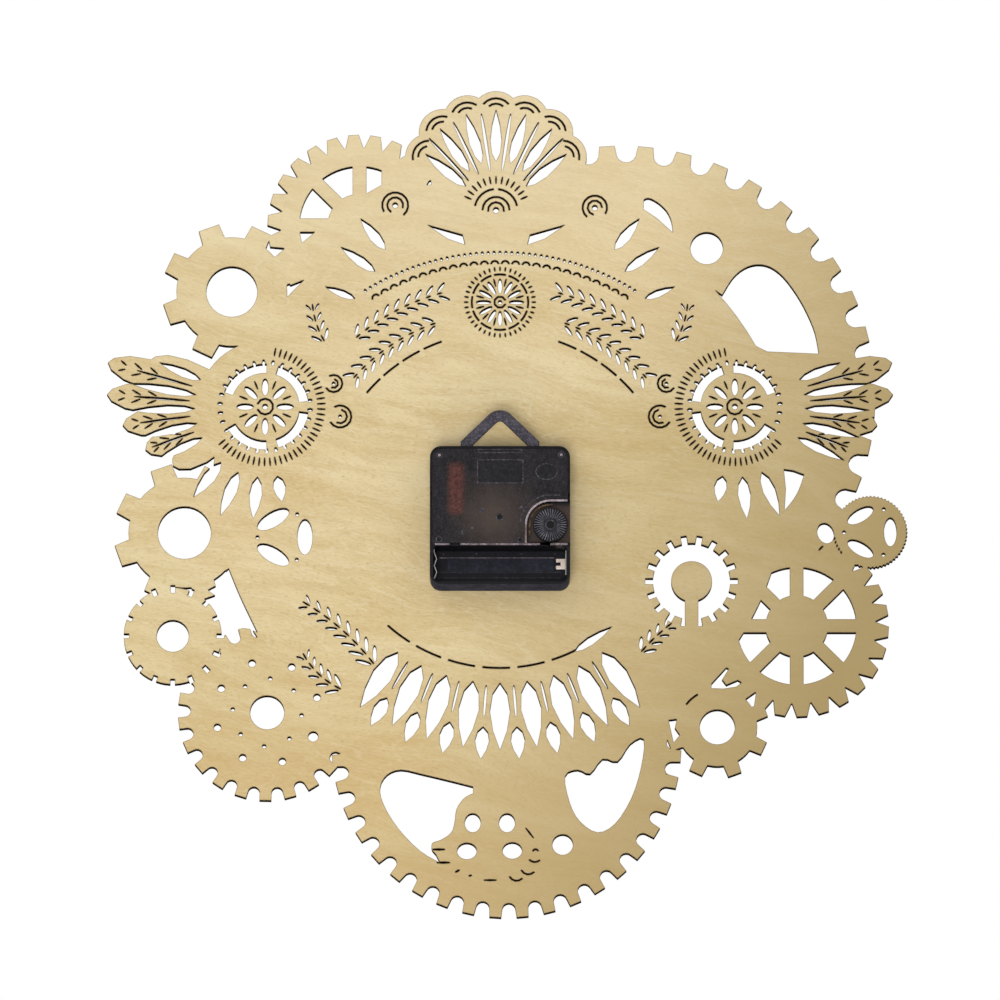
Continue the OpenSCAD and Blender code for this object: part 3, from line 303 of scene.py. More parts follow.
# Painted shade: dark discs where holes and the knob's dimple lie.
shade_plastic = moulded("hole_painted_shade", (8, 8, 9), (15, 14, 16), 0.4, contrast=0.3)[0]
plate_plastic = moulded("bare_plate", (18, 17, 19), (28, 27, 30), 0.36, contrast=0.4)[0]
knob_plastic = moulded("knob_plastic", (6, 6, 8), (12, 12, 15), 0.4, contrast=0.2)[0]
hanger_plastic = moulded("hanger_plastic", (52, 49, 55), (72, 68, 76), 0.42, 1300, 0.3, 0.4)[0]
# Painted highlights: pale lines, edges and pins where the moulding catches the light.
highlight_line_plastic = moulded("edge_line", (82, 72, 76), (134, 118, 122), 0.3, contrast=0.3)[0]
edge_highlight_plastic = moulded("painted_edge_highlight", (132, 118, 123), (184, 168, 173), 0.25, contrast=0.3)[0]
brown_edge = moulded("brown_edge", (98, 82, 78), (146, 124, 118), 0.3, contrast=0.3)[0]
ledge_plastic = moulded("brown_ledge", (46, 37, 28), (84, 68, 48), 0.36, contrast=0.4)[0]
# Painted highlight: raised marks paler than the plastic round them.
ridge_highlight_plastic = moulded("ridge_painted_highlight", (36, 34, 38), (68, 65, 70), 0.3, contrast=0.4)[0]
print("made thirteen plastics, the first is", case_plastic.name)

# %% [markdown]
# The tops of the knob's ribs carry a painted highlight on their outer part and stay dark near the axis.
# The distance from the axis says where, so the highlight stays round whatever the ribs are.

# %% Painted highlight on the ribs of the knob
rib_highlight_plastic, tree, shader, tint = moulded("rib_painted_highlight", (60, 59, 66), (94, 92, 98), 0.36, contrast=0.3)
highlight_from, highlight_to = 0.3 * knob_r * MM, 0.62 * knob_r * MM
knob_place = place_of(tree, shift=(knob_u * MM, 0, -knob_v * MM))
from_axis = add(tree, "VectorMath", {"operation": "MULTIPLY"}, i0=knob_place, i1=(1, 0, 1)).outputs[0]
outward = add(tree, "VectorMath", {"operation": "LENGTH"}, i0=from_axis).outputs["Value"]
tint = mix(tree, between(tree, outward, highlight_from, highlight_to), screen(16, 16, 20), tint)
tree.links.new(tint, shader.inputs["Base Color"])
print("made", rib_highlight_plastic.name)

# %% [markdown]
# ## The cover you can almost see through
# Behind the smoky cover lies the copper coil, which shows as a red-brown patch with soft edges, and
# the white gears, which make the middle paler and browner. The thin wall of the knob's well glows
# brown too. Real see-through plastic would need every inner piece lit from behind, so the three are
# painted: the coil's patch where the box of its solid says, the warm middle at given places, and the
# glow round the knob. A little noise breaks their edges up.

# %% Cover plastic with ragged places
cover_look = moulded("smoky_cover", (12, 11, 13), (36, 33, 36), 0.32, 1700, contrast=0.45)
cover_plastic, tree, shader, tint = cover_look
ragged_by = 1.6 * MM
blot_place = place_of(tree, (500, 500, 500))
blots = add(tree, "TexNoise", Vector=blot_place, Scale=1.0, Detail=3.0).outputs["Color"]
ragged = add(tree, "VectorMath", {"operation": "SCALE"}, i0=blots, Scale=ragged_by).outputs[0]
smooth_place = add(tree, "TexCoord").outputs["Object"]
ragged_place = add(tree, "VectorMath", {"operation": "ADD"}, i0=smooth_place, i1=ragged).outputs[0]
spot = add(tree, "SeparateXYZ", Vector=ragged_place)


def soft_window(value, low, high, soft):
    """1 between low and high, fading out over the given width."""
    rising = between(tree, value, low - soft, low + soft)
    return math_node(tree, "MULTIPLY", rising, between(tree, value, high - soft, high + soft, 1.0, 0.0))


def soft_patch(x_range, z_range, x_soft, z_soft):
    """1 inside a rectangle on the cover, fading out at its sides."""
    across = soft_window(spot.outputs["X"], *x_range, x_soft)
    return math_node(tree, "MULTIPLY", across, soft_window(spot.outputs["Z"], *z_range, z_soft))


print("made", cover_plastic.name)

# %% Coil, gears and glow behind the cover
coil_low, coil_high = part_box("coil_winding")
coil_patch = soft_patch((coil_low.x, coil_high.x), (coil_low.z, coil_high.z), 1.2 * MM, 1.4 * MM)
warm_middle = soft_patch((-7 * MM, 14 * MM), (-9 * MM, 12 * MM), 9 * MM, 8 * MM)
glow_x = (-(knob_u + 10) * MM, -(knob_u - 9) * MM)
glow_z = ((knob_v - 8) * MM, (knob_v + 9) * MM)
well_glow = soft_patch(glow_x, glow_z, MM, MM)
wires = noise(tree, place_of(tree, (900, 900, 1300)), 3.0)
tint = mix(tree, math_node(tree, "MULTIPLY", warm_middle, 0.56), tint, screen(90, 76, 68))
tint = mix(tree, math_node(tree, "MULTIPLY", well_glow, 0.5), tint, screen(84, 68, 60))
copper_patch = mix(tree, between(tree, wires, 0.3, 0.7), screen(62, 34, 31), screen(106, 64, 56))
tint = mix(tree, math_node(tree, "MULTIPLY", coil_patch, 0.85), tint, copper_patch)
tree.links.new(tint, shader.inputs["Base Color"])
print("coil patch", [round(c / MM, 1) for c in (coil_low.x, coil_high.x, coil_low.z, coil_high.z)])

# %% [markdown]
# ## Metals, acetal and the small parts
# Inside are acetal gears, a green circuit board, nickel-plated steel, copper wire and a sintered
# magnet. Outside, the washer and nut are brass, the hands are painted sheet, and a rubber washer lies
# between case and panel. Metals get stretched noise in their roughness, because brushing and drawing
# leave fine lines, and the other small parts a soft mottling.


# %% Helper for metal
def metal(name, dull, bright, polish, stretch=(2400, 2400, 90), relief=0.1):
    """A metal between two colours, with fine lines along the direction of the smallest stretch."""
    material, tree, shader = finish_named(name)
    brushed = noise(tree, place_of(tree, stretch), 2.0)
    stain = noise(tree, place_of(tree, (140, 140, 140)), 3.0)
    tree.links.new(mix(tree, stain, screen(*dull), screen(*bright)), shader.inputs["Base Color"])
    roughness = between(tree, brushed, 0.3, 0.7, polish - 0.05, polish + 0.12)
    tree.links.new(roughness, shader.inputs["Roughness"])
    shader.inputs["Metallic"].default_value = 1.0
    bumps(tree, shader, brushed, relief, 0.03 * MM)
    return material


steel = metal("plated_steel", (176, 176, 172), (222, 222, 218), 0.3)
dull_steel = metal("dull_spring_steel", (92, 92, 92), (168, 166, 162), 0.42, (700, 700, 700))
contact_metal = metal("contact_plating", (164, 150, 140), (224, 210, 198), 0.45, (900, 900, 900))
brass = metal("turned_brass", (170, 132, 60), (214, 178, 98), 0.3, (900, 2600, 900))
copper = metal("copper_wire", (120, 50, 26), (176, 88, 50), 0.38, (300, 300, 7000), 0.6)
magnet = metal("sintered_magnet", (58, 58, 62), (84, 84, 88), 0.5, (2500, 2500, 2500), 0.4)
print("made", steel.name, dull_steel.name, contact_metal.name, brass.name, copper.name, magnet.name)


# %% Helper for plain small parts
def small_part(name, dark, light, rough, grain, relief=0.1):
    """A plain finish with a soft mottling between two colours."""
    material, tree, shader = finish_named(name)
    mottle = noise(tree, place_of(tree, (grain, grain, grain)), 3.0)
    tint = mix(tree, between(tree, mottle, 0.3, 0.7), screen(*dark), screen(*light))
    tree.links.new(tint, shader.inputs["Base Color"])
    tree.links.new(between(tree, mottle, 0.2, 0.8, rough - 0.05, rough + 0.08), shader.inputs["Roughness"])
    bumps(tree, shader, mottle, relief, 0.05 * MM)
    return material


acetal = small_part("acetal", (216, 214, 202), (232, 230, 222), 0.42, 500)
board = small_part("circuit_board_lacquer", (22, 66, 38), (34, 92, 52), 0.35, 260)
resin = small_part("resin_drop", (20, 20, 22), (34, 34, 36), 0.22, 400)
rubber = small_part("soft_rubber", (26, 26, 27), (40, 40, 41), 0.75, 1500, 0.3)
hand_paint = small_part("hand_paint", (18, 18, 19), (27, 27, 28), 0.38, 1800, 0.25)
scorch = small_part("scorched_wood", (52, 34, 22), (78, 53, 35), 0.8, 1600, 0.4)
print("made", acetal.name, board.name, resin.name, rubber.name, hand_paint.name, scorch.name)


# %% Finishes of the hidden pieces and the contacts
def dress(material, *names):
    """Gives solids their material in place of the plain one that they come with."""
    for name in names:
        mesh = nodes[name].data
        mesh.materials.clear()
        mesh.materials.append(material)


dress(acetal, "mid_plate", "coil_bobbin", "rotor_pinion", "fifth_wheel", "second_wheel", "third_wheel",
      "centre_wheel", "minute_arbor", "minute_wheel", "hour_wheel")
dress(board, "circuit_board")
dress(resin, "chip")
dress(steel, "quartz_crystal", "iron_core", "stator")
dress(dull_steel, "contact_plus", "contact_minus")
dress(copper, "coil_winding")
dress(magnet, "rotor_magnet")
dress(rubber, "rubber_washer")
print("hidden pieces and contacts dressed")

# %% [markdown]
# ## From a flat drawing to a piece
# Many details are flat shapes with a thickness: slits, ribs, frames, numerals. They could be cubes and
# tubes put in place one by one, but one flat drawing is shorter and keeps a set together. Each starts
# as a flat bmesh in the view from behind, is pushed out to its depth, and is then turned into the
# clock's frame in one step. Circles give the leaves, a spun edge gives the arcs.


# %% Helpers for flat shapes
fewest_steps = 4
step_reach = 110  # degrees times the radius in mm, which is about 1.9 mm along the arc


def at(u, v, turn=0.0):
    """The matrix that puts a flat shape at a point and turns it, in degrees."""
    return Matrix.Translation((u, v, 0)) @ Matrix.Rotation(math.radians(turn), 4, "Z")


def add_leaf(flat, where, start, length, width, corners=14):
    """A slim leaf, an oval, that begins at a distance along the direction of its matrix."""
    ring = bmesh.ops.create_circle(flat, cap_ends=True, segments=corners, radius=1.0)["verts"]
    size = Matrix.Translation((start + length / 2, 0, 0)) @ Matrix.Diagonal((length / 2, width / 2, 1, 1))
    bmesh.ops.transform(flat, verts=ring, matrix=where @ size)


def add_disc(flat, where, radius, corners=16):
    """A disc is a leaf as wide as it is long."""
    add_leaf(flat, where, -radius, 2 * radius, 2 * radius, corners)


def add_arc(flat, where, radius, width, start, end):
    """A band along an arc: a short edge spun about the centre."""
    turn = Matrix.Rotation(math.radians(start), 4, "Z")
    rims = (radius - width / 2, radius + width / 2)
    ends = [flat.verts.new(where @ turn @ Vector((rim, 0, 0))) for rim in rims]
    edge = flat.edges.new(ends)
    steps = max(fewest_steps, round(abs(end - start) * radius / step_reach))
    way = 1 if where.determinant() > 0 else -1
    bmesh.ops.spin(flat, geom=ends + [edge], cent=where @ Vector((0, 0, 0)), axis=(0, 0, 1), dvec=(0, 0, 0),
                   angle=way * math.radians(end - start), steps=steps, use_merge=False, use_duplicate=False)


def push_out(flat, low, high):
    """Gives the flat shapes a thickness from one depth to another."""
    bmesh.ops.translate(flat, verts=flat.verts, vec=(0, 0, low))
    lifted = bmesh.ops.extrude_face_region(flat, geom=list(flat.faces))["geom"]
    corners = [g for g in lifted if isinstance(g, bmesh.types.BMVert)]
    bmesh.ops.translate(flat, verts=corners, vec=(0, 0, high - low))
    bmesh.ops.recalc_face_normals(flat, faces=list(flat.faces))


print("drawing helpers ready")


# %% Helpers for finished objects
def linked(name, shape, *materials):
    """Puts a shape into the scene as an object with its materials."""
    mesh = bpy.data.meshes.new(name)
    shape.to_mesh(mesh)
    shape.free()
    for material in materials:
        mesh.materials.append(material)
    piece = bpy.data.objects.new(name, mesh)
    bpy.context.scene.collection.objects.link(piece)
    return piece


def to_object(name, shape, *materials):
    """Turns a drawing from behind into an object in the clock's frame."""
    bmesh.ops.transform(shape, verts=shape.verts, matrix=FROM_BEHIND)
    return linked(name, shape, *materials)


def soften(piece, angle=35):
    """Smooth shading, with creases where faces meet at more than the angle. Flat sides stay flat."""
    straight = 0.9999
    large = 4 * MM * MM
    piece.data.shade_smooth()
    piece.data.set_sharp_from_angle(angle=math.radians(angle))
    for face in piece.data.polygons:
        along_axis = max(abs(c) for c in face.normal) > straight
        if along_axis and (face.area > large or abs(face.normal.y) > straight):
            face.use_smooth = False


print("helpers for objects ready")

# %% [markdown]
# ## The fine cuts of the fretwork
# The solid panel has every window, but the laser also cut hundreds of slits hardly wider than its
# beam: veins in the leaves, sprays, beads and rings. They are the finest work on the clock. Cutting
# them one by one would be slow, so all of them are drawn flat, pushed out to one set of little
# blades, and taken out of a copy of the panel by a single Boolean modifier. No two blades may touch,
# because the Boolean needs clean solids. The wider cuts go right through. The narrowest look black
# from every side on the real clock, because one looks at their burnt walls, so these lines are cut
# from both faces and keep a thin burnt web in the middle of the sheet.

# %% Drawing of the slits in the fan and the horns
slit = 0.66
blades = bmesh.new()
lines = bmesh.new()
both = (Matrix.Identity(4), Matrix.Diagonal((-1, 1, 1, 1)))

fan_u, fan_v = -1.6, 128
for heading in (47.5, 64.5, 81.5, 98.5, 115.5, 132.5):
    add_leaf(blades, at(fan_u, fan_v, heading), 16, 24, slit * 1.8)
for heading, reach in ((39, 34.5), (56, 38.2), (73, 39), (90, 39), (107, 39), (124, 38.2), (141, 34.5)):
    lobe = at(fan_u, fan_v, heading) @ at(reach, 0)
    add_arc(lines, lobe, 6.6, slit, -50, 50)
    add_arc(lines, lobe, 4.4, slit, -40, 40)
for heading in range(24, 157, 11):
    add_leaf(lines, at(fan_u, fan_v, heading), 10.6, 3.4, slit, 6)
for start, end in ((12, 84), (96, 168)):
    add_arc(lines, at(fan_u, fan_v), 8.6, slit, start, end)
add_arc(lines, at(fan_u, fan_v), 5.4, slit, 0, 180)
add_arc(lines, at(fan_u, fan_v), 3.2, slit, -10, 190)
add_disc(blades, at(fan_u, fan_v), 1.2, 12)
for u, v, start, end, ring in ((-42, 130, -50, 210, 5.2), (38, 129, -30, 230, 4.9)):
    add_arc(lines, at(u, v), ring, slit, start, end)
    add_arc(lines, at(u, v), ring - 2, slit, start + 30, end + 30)
    add_disc(blades, at(u, v), 1.1, 12)
print("faces in the drawing", len(blades.faces), "and", len(lines.faces))

# %% [markdown]
# Sprays are drawn as a stem that bends a little at each step, with a pair of leaves at each step,
# as a growing twig would. The laurels are sprays that follow the rim of the dial.


# %% Drawing of sprays and laurels
dial_v = 8.9
leaf_spread = 37


def add_pair(where, stem, length, width):
    """A piece of stem and the two leaves at its foot, none of them touching."""
    add_leaf(lines, where, 0.5, stem, slit, 6)
    for side in (-1, 1):
        add_leaf(blades, where @ at(0, 0, leaf_spread * side), 1.5, length, width)


def add_spray(mirror, u, v, heading, step, bend, steps, length, width):
    """Pairs along a bending stem, each pair smaller than the one before."""
    for k in range(steps):
        shrink = 1 - 0.5 * k / steps
        add_pair(mirror @ at(u, v, heading), step * 0.72, length * shrink, width * shrink)
        u += step * math.cos(math.radians(heading))
        v += step * math.sin(math.radians(heading))
        heading += bend


def add_laurel(mirror, radius, start, end, count, length, width):
    """Pairs along a circle about the middle of the dial."""
    ahead = 90 if end > start else -90
    for k in range(count):
        heading = start + (end - start) * k / (count - 1)
        add_pair(mirror @ at(0, dial_v, heading) @ at(radius, 0, ahead), length * 0.5, length, width)


for mirror in both:
    add_laurel(mirror, 77.5, 71, 43, 9, 4.9, 1.25)
    add_laurel(mirror, 88.5, 49, 73, 9, 4.7, 1.15)
    add_spray(mirror, 70, 74, 62, 4.4, 7, 4, 4.6, 1.2)
add_spray(both[0], -50, -57, 128, 5, 3, 8, 6.6, 1.5)
add_spray(both[0], -63, -67, 152, 4.6, -8, 5, 5.6, 1.4)
add_spray(both[0], 56, -52, 48, 4.6, -3, 4, 5.2, 1.4)
print("faces in the drawing", len(blades.faces), "and", len(lines.faces))

# %% [markdown]
# Between the laurels sits a rosette with twelve petals, and above them run a row of scallops and a
# row of beads. Thin arcs border the plain disc of the dial, and two small scrolls fill each corner
# beside the fronds.

# %% Drawing of rosette, beads, scallops and borders
rosette_v = 90.5
for k in range(12):
    add_leaf(blades, at(0, rosette_v, 30 * k), 3.6, 6, 1.6)
    add_leaf(lines, at(0, rosette_v, 30 * k + 15), 6.4, 3.6, slit, 6)
    add_arc(lines, at(0, rosette_v, 30 * k), 11.3, slit, -12, 12)
for k in range(40):
    add_leaf(lines, at(0, rosette_v, 9 * k), 12.6, 1.9, slit, 6)
add_arc(lines, at(0, rosette_v), 2.3, slit, 20, 340)
add_disc(blades, at(0, rosette_v), 0.8, 12)
for k in range(49):
    add_leaf(blades, at(0, dial_v, 58 + 64 * k / 48), 101, 1.5, 1.05, 8)
for k in range(26):
    add_arc(lines, at(0, dial_v, 59.2 + 61.6 * k / 25) @ at(96.9, 0), 1.55, slit, -78, 78)
for mirror in both:
    for start in (40, 48, 56, 64):
        add_arc(lines, mirror @ at(0, dial_v), 69.6, slit, start, start + 6.4)
    for u, v, ring in ((64, 44, 4.5), (66.6, 57.4, 3.5)):
        add_arc(lines, mirror @ at(u, v), ring, slit, 60, 330)
        add_arc(lines, mirror @ at(u, v), ring - 1.7, slit, 100, 300)
        add_disc(blades, mirror @ at(u, v), 0.7, 10)
for start in range(228, 301, 12):
    add_arc(lines, at(0, dial_v), 67, slit, start, start + 9.4)
for k in range(8):
    add_leaf(blades, at(0, dial_v, 240.25 + 8.5 * k), 74, 13, slit * 1.4)
print("faces in the drawing", len(blades.faces), "and", len(lines.faces))

# %% [markdown]
# Each frond springs from a wheel: a flower in the middle, ticks like small teeth on the ring, and a
# wider ring of ticks round it. The leaves have a middle vein and short side veins.

# %% Drawing of the fronds
for mirror in both:
    frond = mirror @ at(94, 48)
    for k in range(41):
        add_leaf(lines, frond @ at(0, 0, 100 + 5.5 * k), 20.6, 3.8, slit, 6)
    for k in range(30):
        add_leaf(blades, frond @ at(0, 0, 12 * k + 4), 16.9, 2.3, 1.3, 6)
    for k in range(8):
        add_leaf(blades, frond @ at(0, 0, 45 * k), 4.6, 6.8, 2.5)
        add_leaf(lines, frond @ at(0, 0, 45 * k + 22.5), 7.4, 4, slit, 6)
    add_arc(lines, frond, 3.2, slit, 20, 340)
    add_disc(blades, frond, 1.1, 12)
    for heading, length in ((16, 65.5), (4.5, 63.5), (-7.5, 57.5), (-20, 51)):
        leaf = frond @ at(0, 0, heading)
        add_leaf(blades, leaf, 30, length * 0.36, slit * 1.3)
        for share, reach in ((0.66, 4.4), (0.76, 4.4), (0.86, 3.2)):
            for side in (-1, 1):
                add_leaf(lines, leaf @ at(length * share, 0, 26 * side), 1.7, reach, slit, 6)
print("faces in the drawing", len(blades.faces), "and", len(lines.faces))

# %% [markdown]
# Where one wheel lies over another, the laser drew only short pieces of the hidden outline: bits of
# tooth flanks and of root circles. They show that the flat sheet stands for wheels in layers.

# %% Drawing of the outlines where wheels overlap
for u, v, heading, length, width in (
        (-27.2, -131.6, 0, 5.6, 0.85), (-25.6, -136.9, 0, 6.0, 0.85), (-18, -140.9, 30, 2.3, 0.8),
        (-12.6, -142.4, 18, 1.5, 0.7), (-6.8, -144, 0, 5.8, 0.7), (10, -122.6, -52, 5.9, 0.6),
        (127.4, -10.5, 47, 2.8, 0.7), (66.4, -101.2, 75, 1.6, 0.6)):
    add_leaf(lines, at(u, v, heading), 0, length, width, 6)
for u, v, ring, start, end in (
        (6.6, -141.2, 3.1, 205, 318), (11.3, -138.6, 3.1, 205, 318), (13.9, -133.7, 3.0, 222, 312),
        (14.2, -132.6, 1.1, 20, 165), (86.6, -82, 15.2, 120, 143)):
    add_arc(lines, at(u, v), ring, 0.6, start, end)
for k in range(5):
    add_leaf(lines, at(147.7, -2.4, 193 + 6.2 * k) @ at(14.3, 0, 60), -0.6, 1.2, 0.6, 6)
print("faces in the drawing", len(blades.faces), "and", len(lines.faces))

# %% Blades as deep as the sheet
middle = (panel_front + panel_back) / 2
half_web, past_face = 0.25, 1
front_lines = lines.copy()
push_out(blades, panel_front - past_face, panel_back + past_face)
push_out(lines, middle + half_web, panel_back + past_face)
push_out(front_lines, panel_front - past_face, middle - half_web)
for part in (lines, front_lines):
    part_mesh = bpy.data.meshes.new("lines")
    part.to_mesh(part_mesh)
    blades.from_mesh(part_mesh)
    part.free()
blade_set = to_object("slit_blades", blades)
print("blades have", len(blade_set.data.polygons), "faces")

# %% Cut the slits out of a copy of the panel
same_point = 1e-6
fretwork = bpy.data.objects.new("fretwork_panel", nodes["gear_panel"].data.copy())
bpy.context.scene.collection.objects.link(fretwork)
whole = bmesh.new()
whole.from_mesh(fretwork.data)
bmesh.ops.remove_doubles(whole, verts=whole.verts, dist=same_point)
whole.to_mesh(fretwork.data)
whole.free()
cutting = fretwork.modifiers.new("slits", "BOOLEAN")
cutting.operation, cutting.solver, cutting.object = "DIFFERENCE", "MANIFOLD", blade_set
bpy.context.view_layer.update()
cut_mesh = bpy.data.meshes.new_from_object(fretwork.evaluated_get(bpy.context.evaluated_depsgraph_get()))
fretwork.modifiers.clear()
fretwork.data = cut_mesh
bpy.data.objects.remove(blade_set)
print("panel has", len(cut_mesh.polygons), "faces")

# %% [markdown]
# Only the two faces of the sheet stay bare wood. Every wall and the webs inside the slits are burnt, so
# a face is charred if it stands upright in the sheet or lies below its surface.

# %% Wood and char on the cut panel
skin = 0.2
cut_mesh.materials.clear()
cut_mesh.materials.append(plywood)
cut_mesh.materials.append(char)
for face in cut_mesh.polygons:
    inside = (panel_front + skin) * MM < face.center.y < (panel_back - skin) * MM
    face.material_index = 1 if inside or abs(face.normal.y) < 0.5 else 0
soften(fretwork, 25)
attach(fretwork, "clock")
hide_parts("gear_panel")
print("charred faces", sum(face.material_index for face in cut_mesh.polygons))

# %% [markdown]
# ## Moulded pieces with soft edges
# No moulding has a knife edge. A copy of each outer plastic solid has its flat faces joined again and
# its sharp edges rounded by at most four tenths of a millimetre, which is what catches the light in
# the photograph. A Bevel node would only shade such an edge, and a real bevel also shows at the
# outline. The solids stay in the part for the physics.


# %% Helper that rounds the edges of a solid
nearly_flat, crease = math.radians(1), math.radians(40)


def rounded_copy(name, node, radius, material, body="clock"):
    """A copy of a solid with its sharp edges rounded, in place of the solid."""
    shape = bmesh.new()
    shape.from_mesh(nodes[node].data)
    bmesh.ops.remove_doubles(shape, verts=shape.verts, dist=same_point)
    bmesh.ops.dissolve_limit(shape, angle_limit=nearly_flat, verts=shape.verts, edges=shape.edges)
    inner = [e for e in shape.edges if len(e.link_faces) == 2]
    creases = [e for e in inner if e.calc_face_angle() > crease]
    bmesh.ops.bevel(shape, geom=creases, offset=radius * MM, offset_type="OFFSET", segments=2, profile=0.5,
                    affect="EDGES", material=-1, clamp_overlap=True)
    piece = linked(name, shape, material)
    soften(piece)
    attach(piece, body)
    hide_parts(node)
    print(name, len(piece.data.polygons), "faces")
    return piece


case = rounded_copy("case_moulding", "front_case", 0.4, case_plastic)
rounded_copy("cover_moulding", "rear_cover", 0.18, cover_plastic)
rounded_copy("hanging_loop", "hanger", 0.3, hanger_plastic)
knob = rounded_copy("knob_moulding", "setting_knob", 0.08, knob_plastic, body="knob")
print("four mouldings rounded")

# %% Painted highlight on the ribs of the knob, brass and hands
rib_depth = 0.2
# The tops of the ribs get the painted highlight; the print counts these faces.
knob.data.materials.append(rib_highlight_plastic)
for face in knob.data.polygons:
    if face.normal.y > 0.7 and face.center.y > (knob_face - rib_depth) * MM:
        face.material_index = 1
dress(brass, "brass_washer", "hex_nut")
dress(hand_paint, "hour_hand", "minute_hand", "second_hand")
print("worn faces on the knob", sum(face.material_index for face in knob.data.polygons))

# %% [markdown]
# ## Marks on the cover
# The cover carries a bare framed plate, an oval, moulding pins near its corners and shallow dots over
# the pivots. All are at most two tenths of a millimetre high. Bumps in the material would be enough
# for the look, but a mark has to be there from every side and in the exported model, so they are flat
# drawings pushed out from just under the face of the cover.


# %% Helpers for boxes, frames and marks
def add_box(flat, left, right, low, high):
    """A flat rectangle."""
    corners = bmesh.ops.create_grid(flat, x_segments=1, y_segments=1, size=0.5)["verts"]
    centre = Matrix.Translation(((left + right) / 2, (low + high) / 2, 0))
    size = Matrix.Diagonal((right - left, high - low, 1, 1))
    bmesh.ops.transform(flat, verts=corners, matrix=centre @ size)


def hollow(flat, line):
    """Turns each face of a flat shape into a frame of the given line width."""
    whole_faces = list(flat.faces)
    bmesh.ops.inset_region(flat, faces=whole_faces, thickness=line, use_boundary=True, use_even_offset=True)
    bmesh.ops.delete(flat, geom=whole_faces, context="FACES")


def finished(name, flat, low, high, material, body="clock"):
    """A drawing pushed out between two depths, riding on a body."""
    push_out(flat, low, high)
    piece = to_object(name, flat, material)
    soften(piece)
    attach(piece, body)


cover_face = cover_high.y / MM
root = 0.1


def on_cover(name, flat, height, material):
    """A mark of the given height on the face of the cover, with its root just inside."""
    finished(name, flat, cover_face - root, cover_face + height, material)


print("cover face at", round(cover_face, 2))

# %% Frame of the bare plate, oval and top clip
oval_at, oval_corners = at(18.6, 18.7), 28
# The frames, rings and dots are drawn paler than the cover, as painted highlights.
plate_frame = bmesh.new()
add_box(plate_frame, -9.2, 9.4, 13.9, 23.7)
add_box(plate_frame, -8.8, 8.8, 26.2, 27.9)
hollow(plate_frame, 0.45)
on_cover("plate_frame", plate_frame, 0.16, ridge_highlight_plastic)
plate_ground = bmesh.new()
add_box(plate_ground, -8.7, 8.9, 14.4, 23.2)
add_leaf(plate_ground, oval_at, -4.1, 8.2, 5.9, oval_corners)
add_box(plate_ground, -8.3, 8.3, 26.7, 27.4)
on_cover("plate_ground", plate_ground, 0.05, plate_plastic)
oval = bmesh.new()
add_leaf(oval, oval_at, -4.5, 9, 6.8, oval_corners)
hollow(oval, 0.4)
on_cover("oval_frame", oval, 0.12, ridge_highlight_plastic)
print("plate, clip and oval drawn")

# %% Pins and pivot dots
pin_line = 0.4
pins = bmesh.new()
pin_rings = bmesh.new()
pin_holes_painted_shade = bmesh.new()
dots = bmesh.new()
for u, v in ((-24.2, 25.4), (24.5, 25.5)):
    add_disc(pins, at(u, v), 0.55)
    add_disc(pin_rings, at(u, v), 1.35, 20)
# The three dark discs are painted shade where holes lie.
for u, v, radius, ring in ((-0.2, 0.3, 1.05, 1.5), (-24.4, -8.8, 0.85, 1.3), (8, -9, 0.75, 1.2)):
    add_disc(pin_holes_painted_shade, at(u, v), radius)
    add_disc(pin_rings, at(u, v), ring, 20)
for u, v, radius in (
        (-7.2, 3.1, 0.9), (8.3, 3.9, 0.8), (-11.1, -4.4, 0.8), (-14.9, -6, 0.9), (1.4, -0.6, 0.45)):
    add_disc(dots, at(u, v), radius)
hollow(pin_rings, pin_line)
# Painted highlights: the pale pins.
on_cover("pin_painted_highlights", pins, 0.14, edge_highlight_plastic)
on_cover("pivot_dots", dots, 0.12, ridge_highlight_plastic)
on_cover("pin_rings", pin_rings, 0.1, ridge_highlight_plastic)
on_cover("pin_holes_painted_shade", pin_holes_painted_shade, 0.06, shade_plastic)
print("pins drawn")

# %% [markdown]
# The rim of the well is an arc with two straight ends: one runs out to the side of the case, the other
# down to the edge of the cover. A low step lies outside it and a thin brown wall stands inside, round
# the knob. All share the knob's centre, so they are arcs about it and boxes that go on from them. A
# hair's breadth lies between each arc and its box, because faces that touch would shade badly.

# %% Rims round the well
well_rim = knob_r + 2.5
rim_w, step_w, ledge_w = 0.75, 0.5, 0.6
step_r = well_rim + 2.6
ledge_r = knob_r + 1.4
well_floor = -3.4
hair = 0.02
side_end = case_right - 1.1
cover_foot = cover_low.z / MM
knob_at = at(knob_u, knob_v)
# Painted highlights: the rim of the well, pale on top and brown at its side.
rim = bmesh.new()
add_arc(rim, knob_at, well_rim + rim_w / 2, rim_w, 90, 180)
add_box(rim, knob_u + hair, side_end, knob_v + well_rim, knob_v + well_rim + rim_w)
on_cover("well_rim_top", rim, 0.2, edge_highlight_plastic)
rim = bmesh.new()
add_box(rim, knob_u - well_rim - rim_w, knob_u - well_rim, cover_foot + 0.9, knob_v - hair)
on_cover("well_rim_side", rim, 0.16, brown_edge)
# Painted highlight on the low step.
step = bmesh.new()
add_arc(step, knob_at, step_r, step_w, 90, 178)
add_box(step, knob_u + hair, side_end - 3, knob_v + step_r - step_w / 2, knob_v + step_r + step_w / 2)
on_cover("outer_step", step, 0.12, ridge_highlight_plastic)
ledge = bmesh.new()
add_arc(ledge, knob_at, ledge_r, ledge_w, 84, 180)
add_box(ledge, knob_u - ledge_r - ledge_w / 2, knob_u - ledge_r + ledge_w / 2, knob_v - 4.2, knob_v - hair)
finished("well_ledge", ledge, well_floor - root, cover_face - 1.0, ledge_plastic)
print("rims drawn")

